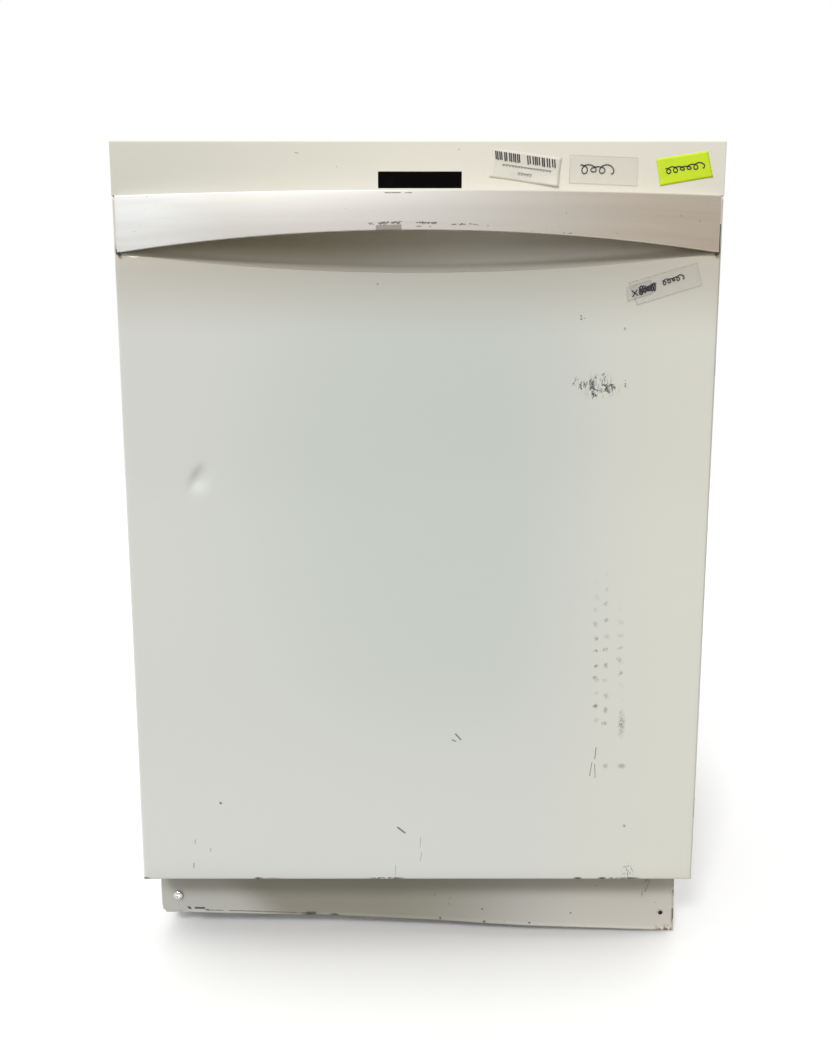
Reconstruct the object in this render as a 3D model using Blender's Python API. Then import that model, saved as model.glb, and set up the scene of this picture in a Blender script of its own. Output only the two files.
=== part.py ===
"""Built-in 24 inch dishwasher: tub, base, drop-down door, racks, spray arms and hidden works.

Units are metres. +X is the user's right facing the door, +Y goes back into the cabinet, +Z is up.
The origin is on the floor, under the centre of the object's bounding box.
"""
import math

import bmesh
import bpy
import numpy as np
from mathutils import Vector

# ---------------------------------------------------------------- driving dimensions
HALF_WIDTH = 0.300  # door and console
HEIGHT = 0.865  # top of the console
BACK_Y = 0.310  # rearmost point, the drain hose
FACE_Y = -0.283  # front face of the door
DOOR_BACK_Y = -0.228  # inner face of the door liner
DOOR_BOTTOM = 0.095
PANEL_TOP = 0.811
SEAM_Z = 0.8125  # bottom of the console and top of the handle band
SHEET = 0.0012  # steel sheet of the door and the kick panel
PLASTIC = 0.003  # console and handle wall
GAP = 0.0003  # clearance between pieces that touch

HINGE = Vector((0.0, -0.263, 0.130))  # door hinge axis, along X
ARM_INNER_X = 0.2865
ARM_OUTER_X = 0.2895

BAND_HALF = 0.2955
BAND_DEPTH = 0.027  # how far the band bows out at the centre
BAND_END_DEPTH = 0.004
BAND_BOTTOM = 0.7755
BAND_END_BOTTOM = 0.7585
SCOOP_BOTTOM = 0.7396
SCOOP_END_BOTTOM = 0.7580
SCOOP_DEPTH = 0.022

LINER_HALF = 0.285
LINER_BOTTOM = 0.140
LINER_TOP = 0.855

TUB_HALF = 0.280
TUB_FRONT_Y = -0.218
TUB_BACK_Y = 0.275
TUB_TOP = 0.835
TUB_WALL = 0.002
LEDGE_Z = 0.1675  # the ledges that the lower wheels run on
BASIN_Z = 0.150
BASIN_HALF = 0.235
SUMP_Y = 0.0285  # spray arms turn on x = 0, y = SUMP_Y

BASE_HALF = 0.297
PAN_Z = 0.0175
TAB_BOTTOM = 0.0270
FOOT_PLACES = [(x, y) for y in (-0.175, 0.250) for x in (-0.270, 0.270)]

RACK_HALF = 0.245
RACK_FRONT_Y = -0.195
RACK_BACK_Y = 0.235
UPPER_Z = 0.5075
UPPER_TOP = 0.620
LOWER_Z = 0.205
LOWER_TOP = 0.340
WIRE = 0.005
RAIL_Z = 0.600

WHEEL_R = 0.017
WHEEL_Z = 0.185
WHEEL_YS = (-0.095, 0.170)

KICK_Y = -0.233
KICK_SCREW = Vector((-0.278, KICK_Y, 0.046))
KICK_HALF = 0.2975
KICK_TOP = 0.0920  # at the left end
KICK_LEAN = math.radians(2.4)  # the right-hand screw is missing, so the panel hangs down there
KICK_HOLES_APART = 0.5605
SCREW_HOLE_R = 0.0026
KICK_EAR = 0.030  # width of the uncut ear at the left end
EAR_BOTTOM = 0.0235
EAR_CORNER_R = 0.010

HOSE_R = 0.0095

BUTTON_XS = [0.052 * i - 0.208 for i in range(5)]
BUTTON_Y = -0.257
BUTTON_SIZE = (0.022, 0.009, 0.006)


# ---------------------------------------------------------------- scene and materials
def clear_scene():
    for old in list(bpy.data.objects):
        bpy.data.objects.remove(old, do_unlink=True)


def material(name, colour, roughness, metallic=0.0):
    found = bpy.data.materials.get(name)
    if found:
        return found
    made = bpy.data.materials.new(name)
    made.use_nodes = True
    shader = made.node_tree.nodes["Principled BSDF"]
    shader.inputs["Base Color"].default_value = (*colour, 1.0)
    shader.inputs["Roughness"].default_value = roughness
    shader.inputs["Metallic"].default_value = metallic
    return made


def white_enamel():
    return material("white_enamel", (0.58, 0.59, 0.56), 0.35)


def white_plastic():
    return material("white_plastic", (0.62, 0.61, 0.55), 0.4)


def handle_finish():
    return material("handle_finish", (0.56, 0.54, 0.50), 0.35, 0.2)


def black_glass():
    return material("black_glass", (0.006, 0.005, 0.004), 0.15)


def grey_plastic():
    return material("grey_plastic", (0.32, 0.34, 0.36), 0.45)


def dark_plastic():
    return material("dark_plastic", (0.03, 0.03, 0.032), 0.5)


def tub_finish():
    return material("tub_steel", (0.55, 0.56, 0.57), 0.32, 0.9)


def galvanised():
    return material("galvanised_steel", (0.45, 0.46, 0.47), 0.45, 0.85)


def polished_steel():
    return material("polished_steel", (0.62, 0.62, 0.62), 0.22, 1.0)


def rack_coat():
    return material("rack_coat", (0.50, 0.53, 0.56), 0.4)


def rubber():
    return material("rubber", (0.06, 0.06, 0.065), 0.7)


def blanket_felt():
    return material("blanket_felt", (0.10, 0.10, 0.11), 0.95)


# ---------------------------------------------------------------- mesh helpers
def pivot(name, place):
    empty = bpy.data.objects.new(name, None)
    bpy.context.collection.objects.link(empty)
    empty.location = place
    return empty


def add_object(name, bm, finish=None, origin=(0, 0, 0), parent=None, smooth=False):
    """Makes an object from a bmesh in world coordinates, with its origin where it is told."""
    bmesh.ops.recalc_face_normals(bm, faces=bm.faces)
    bmesh.ops.translate(bm, verts=bm.verts, vec=-Vector(origin))
    mesh = bpy.data.meshes.new(name)
    bm.to_mesh(mesh)
    bm.free()
    obj = bpy.data.objects.new(name, mesh)
    bpy.context.collection.objects.link(obj)
    obj.location = Vector(origin)
    if parent:
        obj.parent = parent
        obj.location = Vector(origin) - parent.location
    if finish:
        mesh.materials.append(finish)
    if smooth:
        mesh.shade_smooth()
        mesh.set_sharp_from_angle(angle=math.radians(40))
    return obj


def as_guide(obj):
    obj.hide_render = True
    obj.display_type = "WIRE"
    return obj


def combine(obj, guide, operation):
    """Leaves a Boolean modifier on obj. The guide takes obj's parent, so both move together."""
    as_guide(guide)
    if obj.parent and not guide.parent:
        guide.parent = obj.parent
        guide.location -= obj.parent.location
    boolean = obj.modifiers.new(guide.name, "BOOLEAN")
    boolean.operation = operation
    boolean.solver = "EXACT"
    boolean.object = guide


def block_mesh(adds, cuts=()):
    """One closed skin round a union of axis-aligned boxes, less the cut boxes."""
    planes = []
    for axis in range(3):
        values = [corner[axis] for box in (*adds, *cuts) for corner in box]
        planes.append(sorted({round(value, 6) for value in values}))
    cells = np.zeros([len(p) + 1 for p in planes], dtype=bool)
    for boxes, state in ((adds, True), (cuts, False)):
        for low, high in boxes:
            spans = []
            for axis in range(3):
                first = planes[axis].index(round(low[axis], 6)) + 1
                last = planes[axis].index(round(high[axis], 6)) + 1
                spans.append(slice(first, last))
            cells[tuple(spans)] = state
    bm = bmesh.new()
    corners = {}

    def corner(index):
        if index not in corners:
            corners[index] = bm.verts.new([planes[axis][index[axis]] for axis in range(3)])
        return corners[index]

    for axis in range(3):
        u, v = (axis + 1) % 3, (axis + 2) % 3
        for cell in zip(*np.nonzero(cells)):
            for side in (-1, 1):
                beside = list(cell)
                beside[axis] += side
                if cells[tuple(beside)]:
                    continue
                low = [int(c) - 1 for c in cell]
                if side > 0:
                    low[axis] += 1
                ring = []
                for du, dv in ((0, 0), (1, 0), (1, 1), (0, 1)):
                    index = list(low)
                    index[u] += du
                    index[v] += dv
                    ring.append(corner(tuple(index)))
                bm.faces.new(ring if side > 0 else ring[::-1])
    bmesh.ops.dissolve_limit(bm, angle_limit=0.01, verts=bm.verts, edges=bm.edges)
    return bm


def blocks(name, adds, cuts=(), **kwargs):
    return add_object(name, block_mesh(adds, cuts), **kwargs)


def prism_mesh(outline, axis, low, high):
    """Extrudes a closed outline, given in the two axes after `axis`, from low to high."""
    bm = bmesh.new()
    rings = []
    for level in (low, high):
        ring = []
        for first, second in outline:
            place = [0.0, 0.0, 0.0]
            place[axis] = level
            place[(axis + 1) % 3] = first
            place[(axis + 2) % 3] = second
            ring.append(bm.verts.new(place))
        rings.append(ring)
    count = len(outline)
    for i in range(count):
        j = (i + 1) % count
        bm.faces.new((rings[0][i], rings[0][j], rings[1][j], rings[1][i]))
    bm.faces.new(rings[0][::-1])
    bm.faces.new(rings[1])
    return bm


def turned_mesh(profile, centre, axis=2, count=24):
    """Turns a closed profile of (radius, distance along the axis) about a line through centre."""
    bm = bmesh.new()
    rings = []
    for radius, along in profile:
        if radius < 1e-6:
            place = list(centre)
            place[axis] += along
            rings.append([bm.verts.new(place)])
            continue
        ring = []
        for i in range(count):
            turn = 2 * math.pi * i / count
            place = list(centre)
            place[axis] += along
            place[(axis + 1) % 3] += radius * math.cos(turn)
            place[(axis + 2) % 3] += radius * math.sin(turn)
            ring.append(bm.verts.new(place))
        rings.append(ring)
    for k, ring in enumerate(rings):
        after = rings[(k + 1) % len(rings)]
        for i in range(count):
            j = (i + 1) % count
            if len(ring) == 1 and len(after) == 1:
                break
            if len(ring) == 1:
                bm.faces.new((ring[0], after[j], after[i]))
            elif len(after) == 1:
                bm.faces.new((ring[i], ring[j], after[0]))
            else:
                bm.faces.new((ring[i], ring[j], after[j], after[i]))
    return bm


def turned(name, profile, centre, axis=2, count=24, **kwargs):
    kwargs.setdefault("smooth", True)
    return add_object(name, turned_mesh(profile, centre, axis, count), **kwargs)


def rod_guide(name, centre, radius, low, high, axis=2, count=12):
    profile = [(0, low), (radius, low), (radius, high), (0, high)]
    return as_guide(add_object(name, turned_mesh(profile, centre, axis, count)))


def smooth_route(points, steps):
    """Catmull-Rom points through the given ones."""
    ends = [2 * Vector(points[0]) - Vector(points[1])]
    tail = [2 * Vector(points[-1]) - Vector(points[-2])]
    knots = ends + [Vector(p) for p in points] + tail
    route = []
    for i in range(1, len(knots) - 2):
        a, b, c, d = knots[i - 1 : i + 3]
        for s in range(steps):
            t = s / steps
            part = 2 * b + (c - a) * t + (2 * a - 5 * b + 4 * c - d) * t**2
            route.append(0.5 * (part + (3 * b - a - 3 * c + d) * t**3))
    return route + [Vector(points[-1])]


def pipe(name, route, radius, finish, resolution=2):
    """A round tube along a route, as a curve with filled caps."""
    curve = bpy.data.curves.new(name, "CURVE")
    curve.dimensions = "3D"
    curve.bevel_depth = radius
    curve.bevel_resolution = resolution
    curve.use_fill_caps = True
    spline = curve.splines.new("POLY")
    spline.points.add(len(route) - 1)
    for point, place in zip(spline.points, route):
        point.co = (*place, 1.0)
    obj = bpy.data.objects.new(name, curve)
    bpy.context.collection.objects.link(obj)
    curve.materials.append(finish)
    return obj


def rounded_corner(centre, radius, start, end, steps, fixed_y):
    """Points of an arc in the XZ plane, angles in degrees."""
    points = []
    for i in range(steps + 1):
        turn = math.radians(start + (end - start) * i / steps)
        x = centre[0] + radius * math.cos(turn)
        z = centre[1] + radius * math.sin(turn)
        points.append(Vector((x, fixed_y, z)))
    return points


# ---------------------------------------------------------------- tub and what stands in it
def make_tub():
    """A drawn box with side ledges, a sunk basin floor and a flange round its mouth."""
    half, wall = TUB_HALF, TUB_WALL
    outer = [
        (LEDGE_Z - wall, -half),
        (LEDGE_Z - wall, -BASIN_HALF - wall),
        (BASIN_Z - wall, -BASIN_HALF - wall),
        (BASIN_Z - wall, BASIN_HALF + wall),
        (LEDGE_Z - wall, BASIN_HALF + wall),
        (LEDGE_Z - wall, half),
        (TUB_TOP, half),
        (TUB_TOP, -half),
    ]
    inner = [
        (LEDGE_Z, wall - half),
        (LEDGE_Z, -BASIN_HALF),
        (BASIN_Z, -BASIN_HALF),
        (BASIN_Z, BASIN_HALF),
        (LEDGE_Z, BASIN_HALF),
        (LEDGE_Z, half - wall),
        (TUB_TOP - wall, half - wall),
        (TUB_TOP - wall, wall - half),
    ]
    shell = prism_mesh(outer, 1, TUB_FRONT_Y, TUB_BACK_Y)
    tub = add_object("tub", shell, finish=tub_finish())
    flange = blocks(
        "tub_flange_guide",
        [((-LINER_HALF, TUB_FRONT_Y, 0.140), (LINER_HALF, TUB_FRONT_Y + wall, 0.847))],
        [((-0.0105, TUB_FRONT_Y, 0.8415), (0.0105, TUB_FRONT_Y + wall, 0.847))],
    )
    combine(tub, flange, "UNION")
    cavity = add_object("tub_cavity_guide", prism_mesh(inner, 1, -0.300, TUB_BACK_Y - wall))
    combine(tub, cavity, "DIFFERENCE")
    centre = (0, SUMP_Y, 0)
    combine(tub, rod_guide("sump_hole_guide", centre, 0.0755, 0.13, 0.16, count=32), "DIFFERENCE")


def make_sump():
    """A bowl under the tub floor, with the tower that carries the lower spray arm."""
    profile = [
        (0.0000, 0.0600),
        (0.0500, 0.0600),
        (0.0780, 0.0850),
        (0.0780, 0.1400),
        (0.0900, 0.1400),
        (0.0900, 0.1477),
        (0.0750, 0.1477),
        (0.0750, 0.0870),
        (0.0480, 0.0640),
        (0.0140, 0.0640),
        (0.0140, 0.1760),
        (0.0060, 0.1760),
        (0.0060, 0.1890),
        (0.0000, 0.1890),
    ]
    turned("sump", profile, (0, SUMP_Y, 0), count=16, finish=grey_plastic())


CUP_CENTRE = (0.0, SUMP_Y - 0.044)


def make_filters():
    """The flat filter plate and the cup that twists out of it."""
    disc = [(0.0150, 0.1480), (0.0745, 0.1480), (0.0745, 0.1500), (0.0150, 0.1500)]
    plate = turned("filter_plate", disc, (0, SUMP_Y, 0), count=28, finish=polished_steel())
    hole = rod_guide("filter_hole_guide", (*CUP_CENTRE, 0), 0.0250, 0.14, 0.16, count=20)
    combine(plate, hole, "DIFFERENCE")
    profile = [
        (0.0000, 0.1000),
        (0.0240, 0.1000),
        (0.0240, 0.1503),
        (0.0270, 0.1503),
        (0.0270, 0.1530),
        (0.0210, 0.1530),
        (0.0210, 0.1040),
        (0.0000, 0.1040),
    ]
    cup_pivot = pivot("filter_cup_axis", (*CUP_CENTRE, 0.1))
    place = dict(origin=(*CUP_CENTRE, 0.1), parent=cup_pivot)
    cup = turned(
        "filter_cup", profile, (*CUP_CENTRE, 0), count=20, finish=grey_plastic(), **place
    )
    low = (-0.0230, CUP_CENTRE[1] - 0.0020, 0.1480)
    high = (0.0230, CUP_CENTRE[1] + 0.0020, 0.1565)
    combine(cup, blocks("cup_grip_guide", [(low, high)]), "UNION")


UPPER_ARM_Y = 0.020
ARM_TIP_R = 0.016
ARM_HUB_X = 0.045  # half length of the wider middle


def make_arm(name, axis, reach, heights, centre_y):
    """A two-bladed spray arm: tapering blades with round tips, and a bearing hole."""
    low, high = heights
    middle = (0, centre_y, (low + high) / 2)
    place = dict(origin=middle, parent=pivot(axis, middle))
    blade = []
    for side in (1, -1):
        for step in range(9):
            turn = math.pi * (step / 8 - 0.5)
            x = side * (reach - ARM_TIP_R + ARM_TIP_R * math.cos(turn))
            blade.append((x, centre_y + side * ARM_TIP_R * math.sin(turn)))
        blade.append((side * ARM_HUB_X, centre_y + side * 0.024))
        blade.append((-side * ARM_HUB_X, centre_y + side * 0.030))
    arm = add_object(
        name, prism_mesh(blade, 2, low, high), finish=grey_plastic(), smooth=True, **place
    )
    hole = rod_guide(name + "_hole_guide", (0, centre_y, 0), 0.0068, low - 0.01, high + 0.01)
    combine(arm, hole, "DIFFERENCE")


def make_heater():
    """A ring of sheathed element with both ends turned down into the floor at the back."""
    radius, steps = 0.192, 40
    opening = math.radians(8)
    end_y = SUMP_Y + radius - 0.002
    leg = [Vector((0.020, end_y, BASIN_Z + 0.0006)), Vector((0.021, end_y, 0.157))]
    route = list(leg)
    for i in range(steps + 1):
        turn = math.pi / 2 - opening - (2 * math.pi - 2 * opening) * i / steps
        route.append(Vector((radius * math.cos(turn), SUMP_Y + radius * math.sin(turn), 0.163)))
    route += [Vector((-point.x, point.y, point.z)) for point in reversed(leg)]
    pipe("heating_element", route, 0.004, polished_steel(), resolution=1)


def make_float():
    """The overfill float, a cap that rises with the water."""
    profile = [
        (0.0000, 0.1870),
        (0.0140, 0.1850),
        (0.0215, 0.1780),
        (0.0220, 0.1520),
        (0.0190, 0.1520),
        (0.0190, 0.1760),
        (0.0000, 0.1800),
    ]
    turned("float", profile, (0.190, -0.160, 0), count=20, finish=grey_plastic())


FEED_R = 0.009
FEED_Y = 0.262  # the riser on the back wall
FEED_TOP_Z = 0.822
FEED_BEND = 0.022
DOCK_Z = 0.4985  # where the upper rack's feed meets the riser
TOP_HEAD_Y = 0.030


def make_top_spray():
    """The riser on the back wall, its run along the ceiling and the fixed spray head there."""
    bend_z = FEED_TOP_Z - FEED_BEND
    route = [Vector((0, FEED_Y, z)) for z in (BASIN_Z + 0.0006, 0.45, bend_z)]
    for i in range(1, 6):
        turn = math.radians(18 * i)
        y = FEED_Y - FEED_BEND + FEED_BEND * math.cos(turn)
        route.append(Vector((0, y, bend_z + FEED_BEND * math.sin(turn))))
    route.append(Vector((0, TOP_HEAD_Y, FEED_TOP_Z)))
    tube = pipe("feed_tube", route, FEED_R, grey_plastic())
    nozzle = rod_guide("nozzle_guide", (0, 0, DOCK_Z), FEED_R, 0.2490, FEED_Y, axis=1)
    combine_tube(tube, nozzle)
    profile = [
        (0.000, 0.7970),
        (0.040, 0.7990),
        (0.044, 0.8060),
        (0.012, 0.8125),
        (0.000, 0.8125),
    ]
    turned("top_spray_head", profile, (0, TOP_HEAD_Y, 0), finish=grey_plastic())


def combine_tube(tube, guide):
    """A curve takes no Boolean modifier, so the tube is turned into a mesh first."""
    depsgraph = bpy.context.evaluated_depsgraph_get()
    mesh = bpy.data.meshes.new_from_object(tube.evaluated_get(depsgraph))
    name = tube.name
    bpy.data.objects.remove(tube, do_unlink=True)
    made = bpy.data.objects.new(name, mesh)
    bpy.context.collection.objects.link(made)
    mesh.shade_smooth()
    mesh.set_sharp_from_angle(angle=math.radians(40))
    combine(made, guide, "UNION")


def make_seal():
    """The gasket along the sides and top of the tub mouth."""
    y = (DOOR_BACK_Y + TUB_FRONT_Y) / 2
    side, top, bend = 0.281, 0.8365, 0.020
    route = [Vector((side, y, 0.172))]
    route += rounded_corner((side - bend, top - bend), bend, 0, 90, 5, y)
    route += rounded_corner((bend - side, top - bend), bend, 90, 180, 5, y)
    route.append(Vector((-side, y, 0.172)))
    pipe("door_seal", route, 0.0044, rubber(), resolution=2)


def make_rails():
    """Telescopic side rails: a fixed channel on the wall and a middle channel in it."""
    low, high = RAIL_Z - 0.015, RAIL_Z + 0.015
    for side, name in ((-1, "left"), (1, "right")):

        def mirrored(box):
            xs = sorted((side * box[0][0], side * box[1][0]))
            return (xs[0], *box[0][1:]), (xs[1], *box[1][1:])

        outer = [
            ((0.2757, -0.205, low), (0.2777, 0.225, high)),
            ((0.2655, -0.205, low), (0.2757, 0.225, low + 0.002)),
            ((0.2655, -0.205, high - 0.002), (0.2757, 0.225, high)),
        ]
        middle = [
            ((0.2727, -0.203, low + 0.003), (0.2745, 0.223, high - 0.003)),
            ((0.2600, -0.203, low + 0.003), (0.2727, 0.223, low + 0.005)),
            ((0.2600, -0.203, high - 0.005), (0.2727, 0.223, high - 0.003)),
        ]
        blocks("rail_outer_" + name, [mirrored(b) for b in outer], finish=polished_steel())
        blocks("rail_mid_" + name, [mirrored(b) for b in middle], finish=polished_steel())


# ---------------------------------------------------------------- racks
def basket_bars(xs, ys, low, top, rims):
    """Square bars of an open basket: a floor grid, uprights round the edge and rims."""
    half = WIRE / 2
    bars = []
    for x in xs:
        bars.append(((x - half, ys[0] - half, low), (x + half, ys[-1] + half, low + WIRE)))
    for y in ys:
        bars.append(((xs[0] - half, y - half, low), (xs[-1] + half, y + half, low + WIRE)))
    uprights = [(x, y) for x in xs for y in (ys[0], ys[-1])]
    uprights += [(x, y) for y in ys[1:-1] for x in (xs[0], xs[-1])]
    for x, y in uprights:
        bars.append(((x - half, y - half, low), (x + half, y + half, top)))
    for z in rims:
        for y in (ys[0], ys[-1]):
            bars.append(((xs[0] - half, y - half, z), (xs[-1] + half, y + half, z + WIRE)))
        for x in (xs[0], xs[-1]):
            bars.append(((x - half, ys[0] - half, z), (x + half, ys[-1] + half, z + WIRE)))
    return bars


def even(low, high, count):
    return [low + (high - low) * i / (count - 1) for i in range(count)]


def rack_lines(columns, rows):
    half = WIRE / 2
    xs = even(half - RACK_HALF, RACK_HALF - half, columns)
    ys = even(RACK_FRONT_Y + half, RACK_BACK_Y - half, rows)
    return xs, ys


def make_upper_rack():
    """The upper basket, hung from a runner bar at each side."""
    xs, ys = rack_lines(7, 6)
    bars = basket_bars(xs, ys, UPPER_Z, UPPER_TOP, (UPPER_TOP - WIRE,))
    for side in (-1, 1):
        low_x, high_x = sorted((side * RACK_HALF, side * 0.2620))
        for y in (-0.15, 0.02, 0.19):
            bars.append(((low_x, y - 0.006, RAIL_Z - 0.0025), (high_x, y + 0.006, RAIL_Z + 0.0025)))
        low_x, high_x = sorted((side * 0.2615, side * 0.2712))
        bars.append(((low_x, -0.195, RAIL_Z - 0.0065), (high_x, 0.215, RAIL_Z + 0.0065)))
        low_x, high_x = sorted((side * (RACK_HALF - WIRE), side * RACK_HALF))
        bars.append(((low_x, -0.195, RAIL_Z - 0.0025), (high_x, 0.235, RAIL_Z + 0.0025)))
    blocks("upper_rack", bars, finish=rack_coat())


def make_upper_arm_feed():
    """The pipe under the upper rack, with the hub and pin that its spray arm turns on."""
    route = [Vector((0, 0.2485, DOCK_Z)), Vector((0, UPPER_ARM_Y, DOCK_Z))]
    tube = pipe("upper_arm_feed", route, 0.0065, grey_plastic())
    hub = [(0, 0.4745), (0.0055, 0.4745), (0.0055, 0.4855), (0.015, 0.4855)]
    hub += [(0.015, 0.5050), (0, 0.5050)]
    guide = add_object("feed_hub_guide", turned_mesh(hub, (0, UPPER_ARM_Y, 0), 2, 16))
    combine_tube(tube, guide)


def make_cup_shelf():
    """A fold-up wire shelf over the left side of the upper rack."""
    hinge = (-0.2365, 0.0, 0.602)
    bars = []
    for x in even(-0.2365, -0.1300, 4):
        bars.append(((x - 0.002, -0.150, 0.600), (x + 0.002, 0.100, 0.604)))
    for y in even(-0.148, 0.098, 5):
        bars.append(((-0.2385, y - 0.002, 0.600), (-0.1280, y + 0.002, 0.604)))
    blocks("cup_shelf", bars, finish=rack_coat(), origin=hinge, parent=pivot("shelf_axis", hinge))


def make_lower_rack():
    """The lower basket, with brackets and axle pins for its wheels."""
    xs, ys = rack_lines(7, 6)
    bars = basket_bars(xs, ys, LOWER_Z, LOWER_TOP, (0.270, LOWER_TOP - WIRE))
    for side in (-1, 1):
        for y in WHEEL_YS:
            low_x, high_x = sorted((side * (RACK_HALF - WIRE), side * RACK_HALF))
            bars.append(((low_x, y - 0.006, 0.178), (high_x, y + 0.006, LOWER_Z + WIRE)))
            low_x, high_x = sorted((side * RACK_HALF, side * 0.2640))
            low = (low_x, y - 0.002, WHEEL_Z - 0.002)
            bars.append((low, (high_x, y + 0.002, WHEEL_Z + 0.002)))
    blocks("lower_rack", bars, finish=rack_coat())


def make_wheels():
    """Four wheels of the lower rack."""
    profile = [(0.0034, -0.005), (WHEEL_R, -0.005), (WHEEL_R, 0.005), (0.0034, 0.005)]
    for side, side_name in ((-1, "left"), (1, "right")):
        for y, end_name in zip(WHEEL_YS, ("front", "rear")):
            centre = (side * 0.2545, y, WHEEL_Z)
            name = "wheel_" + end_name + "_" + side_name
            axle = pivot(name + "_axis", centre)
            turned(
                name, profile, centre, axis=0, count=20,
                finish=grey_plastic(), origin=centre, parent=axle,
            )


def make_silverware_basket():
    """A basket of six open cells."""
    low, high = (0.130, -0.180, 0.2120), (0.230, 0.060, 0.3300)
    wall = 0.003
    cuts = []
    xs = even(low[0] + wall, high[0], 3)
    ys = even(low[1] + wall, high[1], 4)
    for i in range(2):
        for j in range(3):
            first = (xs[i], ys[j], low[2] + wall)
            cuts.append((first, (xs[i + 1] - wall, ys[j + 1] - wall, high[2])))
    blocks("silverware_basket", [(low, high)], cuts, finish=grey_plastic())


def make_tine_row():
    """A fold-down row of plate tines across the lower rack."""
    hinge = (0.0, 0.045, 0.2150)
    bars = [((-0.220, 0.043, 0.213), (0.105, 0.047, 0.217))]
    for x in even(-0.216, 0.101, 9):
        bars.append(((x - 0.002, 0.043, 0.213), (x + 0.002, 0.047, 0.300)))
    blocks("tine_row", bars, finish=rack_coat(), origin=hinge, parent=pivot("tine_axis", hinge))


# ---------------------------------------------------------------- door
def bow(x):
    """1 at the door's centre line, 0 at the ends of the handle band."""
    return max(0.0, 1.0 - (x / BAND_HALF) ** 2)


def scoop_depth(x, z):
    """Depth of the finger pocket that is pressed into the panel behind the band."""
    lower = SCOOP_END_BOTTOM + (SCOOP_BOTTOM - SCOOP_END_BOTTOM) * bow(x)
    reach = (z - lower) / 0.030
    if reach <= 0 or z > 0.8075:
        return 0.0
    rise = min(1.0, reach)
    return SCOOP_DEPTH * bow(x) * rise * (2.0 - rise)


def make_outer_panel(door):
    """A drawn steel sheet: front with the finger pocket, returned sides and bottom."""
    xs = even(-HALF_WIDTH, HALF_WIDTH, 19)
    zs = [DOOR_BOTTOM, 0.40, 0.70, 0.738, 0.744, 0.750, 0.757, 0.764, 0.772, 0.790]
    zs += [0.8070, 0.8080, PANEL_TOP]
    bm = bmesh.new()
    grid = [[bm.verts.new((x, FACE_Y + scoop_depth(x, z), z)) for x in xs] for z in zs]
    for low_row, high_row in zip(grid, grid[1:]):
        for i in range(len(xs) - 1):
            bm.faces.new((low_row[i], low_row[i + 1], high_row[i + 1], high_row[i]))
    for column, x in ((0, -HALF_WIDTH), (-1, HALF_WIDTH)):
        back = [bm.verts.new((x, -0.232, z)) for z in zs]
        for i in range(len(zs) - 1):
            bm.faces.new((grid[i][column], grid[i + 1][column], back[i + 1], back[i]))
    lip = [bm.verts.new((x, FACE_Y + 0.008, DOOR_BOTTOM)) for x in xs[1:-1]]
    for i in range(len(lip) - 1):
        bm.faces.new((grid[0][i + 1], lip[i], lip[i + 1], grid[0][i + 2]))
    bmesh.ops.recalc_face_normals(bm, faces=bm.faces)
    front = max(bm.faces, key=lambda face: face.calc_area())
    if front.normal.y > 0:
        bmesh.ops.reverse_faces(bm, faces=bm.faces)
    bmesh.ops.translate(bm, verts=bm.verts, vec=-HINGE)
    mesh = bpy.data.meshes.new("outer_panel")
    bm.to_mesh(mesh)
    bm.free()
    mesh.materials.append(white_enamel())
    panel = bpy.data.objects.new("outer_panel", mesh)
    bpy.context.collection.objects.link(panel)
    panel.parent = door
    solid = panel.modifiers.new("sheet", "SOLIDIFY")
    solid.thickness = SHEET
    solid.offset = -1.0
    solid.use_even_offset = True


def make_handle_band(door):
    """A bowed channel that hides the finger pocket. It is open below."""
    back = FACE_Y - GAP
    bm = bmesh.new()
    rings = []
    for x in even(-BAND_HALF, BAND_HALF, 17):
        front = FACE_Y - BAND_END_DEPTH - (BAND_DEPTH - BAND_END_DEPTH) * bow(x)
        low = BAND_END_BOTTOM + (BAND_BOTTOM - BAND_END_BOTTOM) * bow(x)
        section = [
            (back, SEAM_Z),
            (front, SEAM_Z),
            (front, low),
            (front + PLASTIC, low),
            (front + PLASTIC, SEAM_Z - PLASTIC),
            (back, SEAM_Z - PLASTIC),
        ]
        rings.append([bm.verts.new((x, y, z)) for y, z in section])
    for ring, after in zip(rings, rings[1:]):
        for i in range(6):
            j = (i + 1) % 6
            bm.faces.new((ring[i], ring[j], after[j], after[i]))
    bm.faces.new(rings[0])
    bm.faces.new(rings[-1][::-1])
    add_object("handle_band", bm, finish=handle_finish(), origin=HINGE, parent=door)


DISPLAY_CENTRE = (0.002, 0.8277)
DISPLAY_SIZE = (0.081, 0.015)


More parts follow.
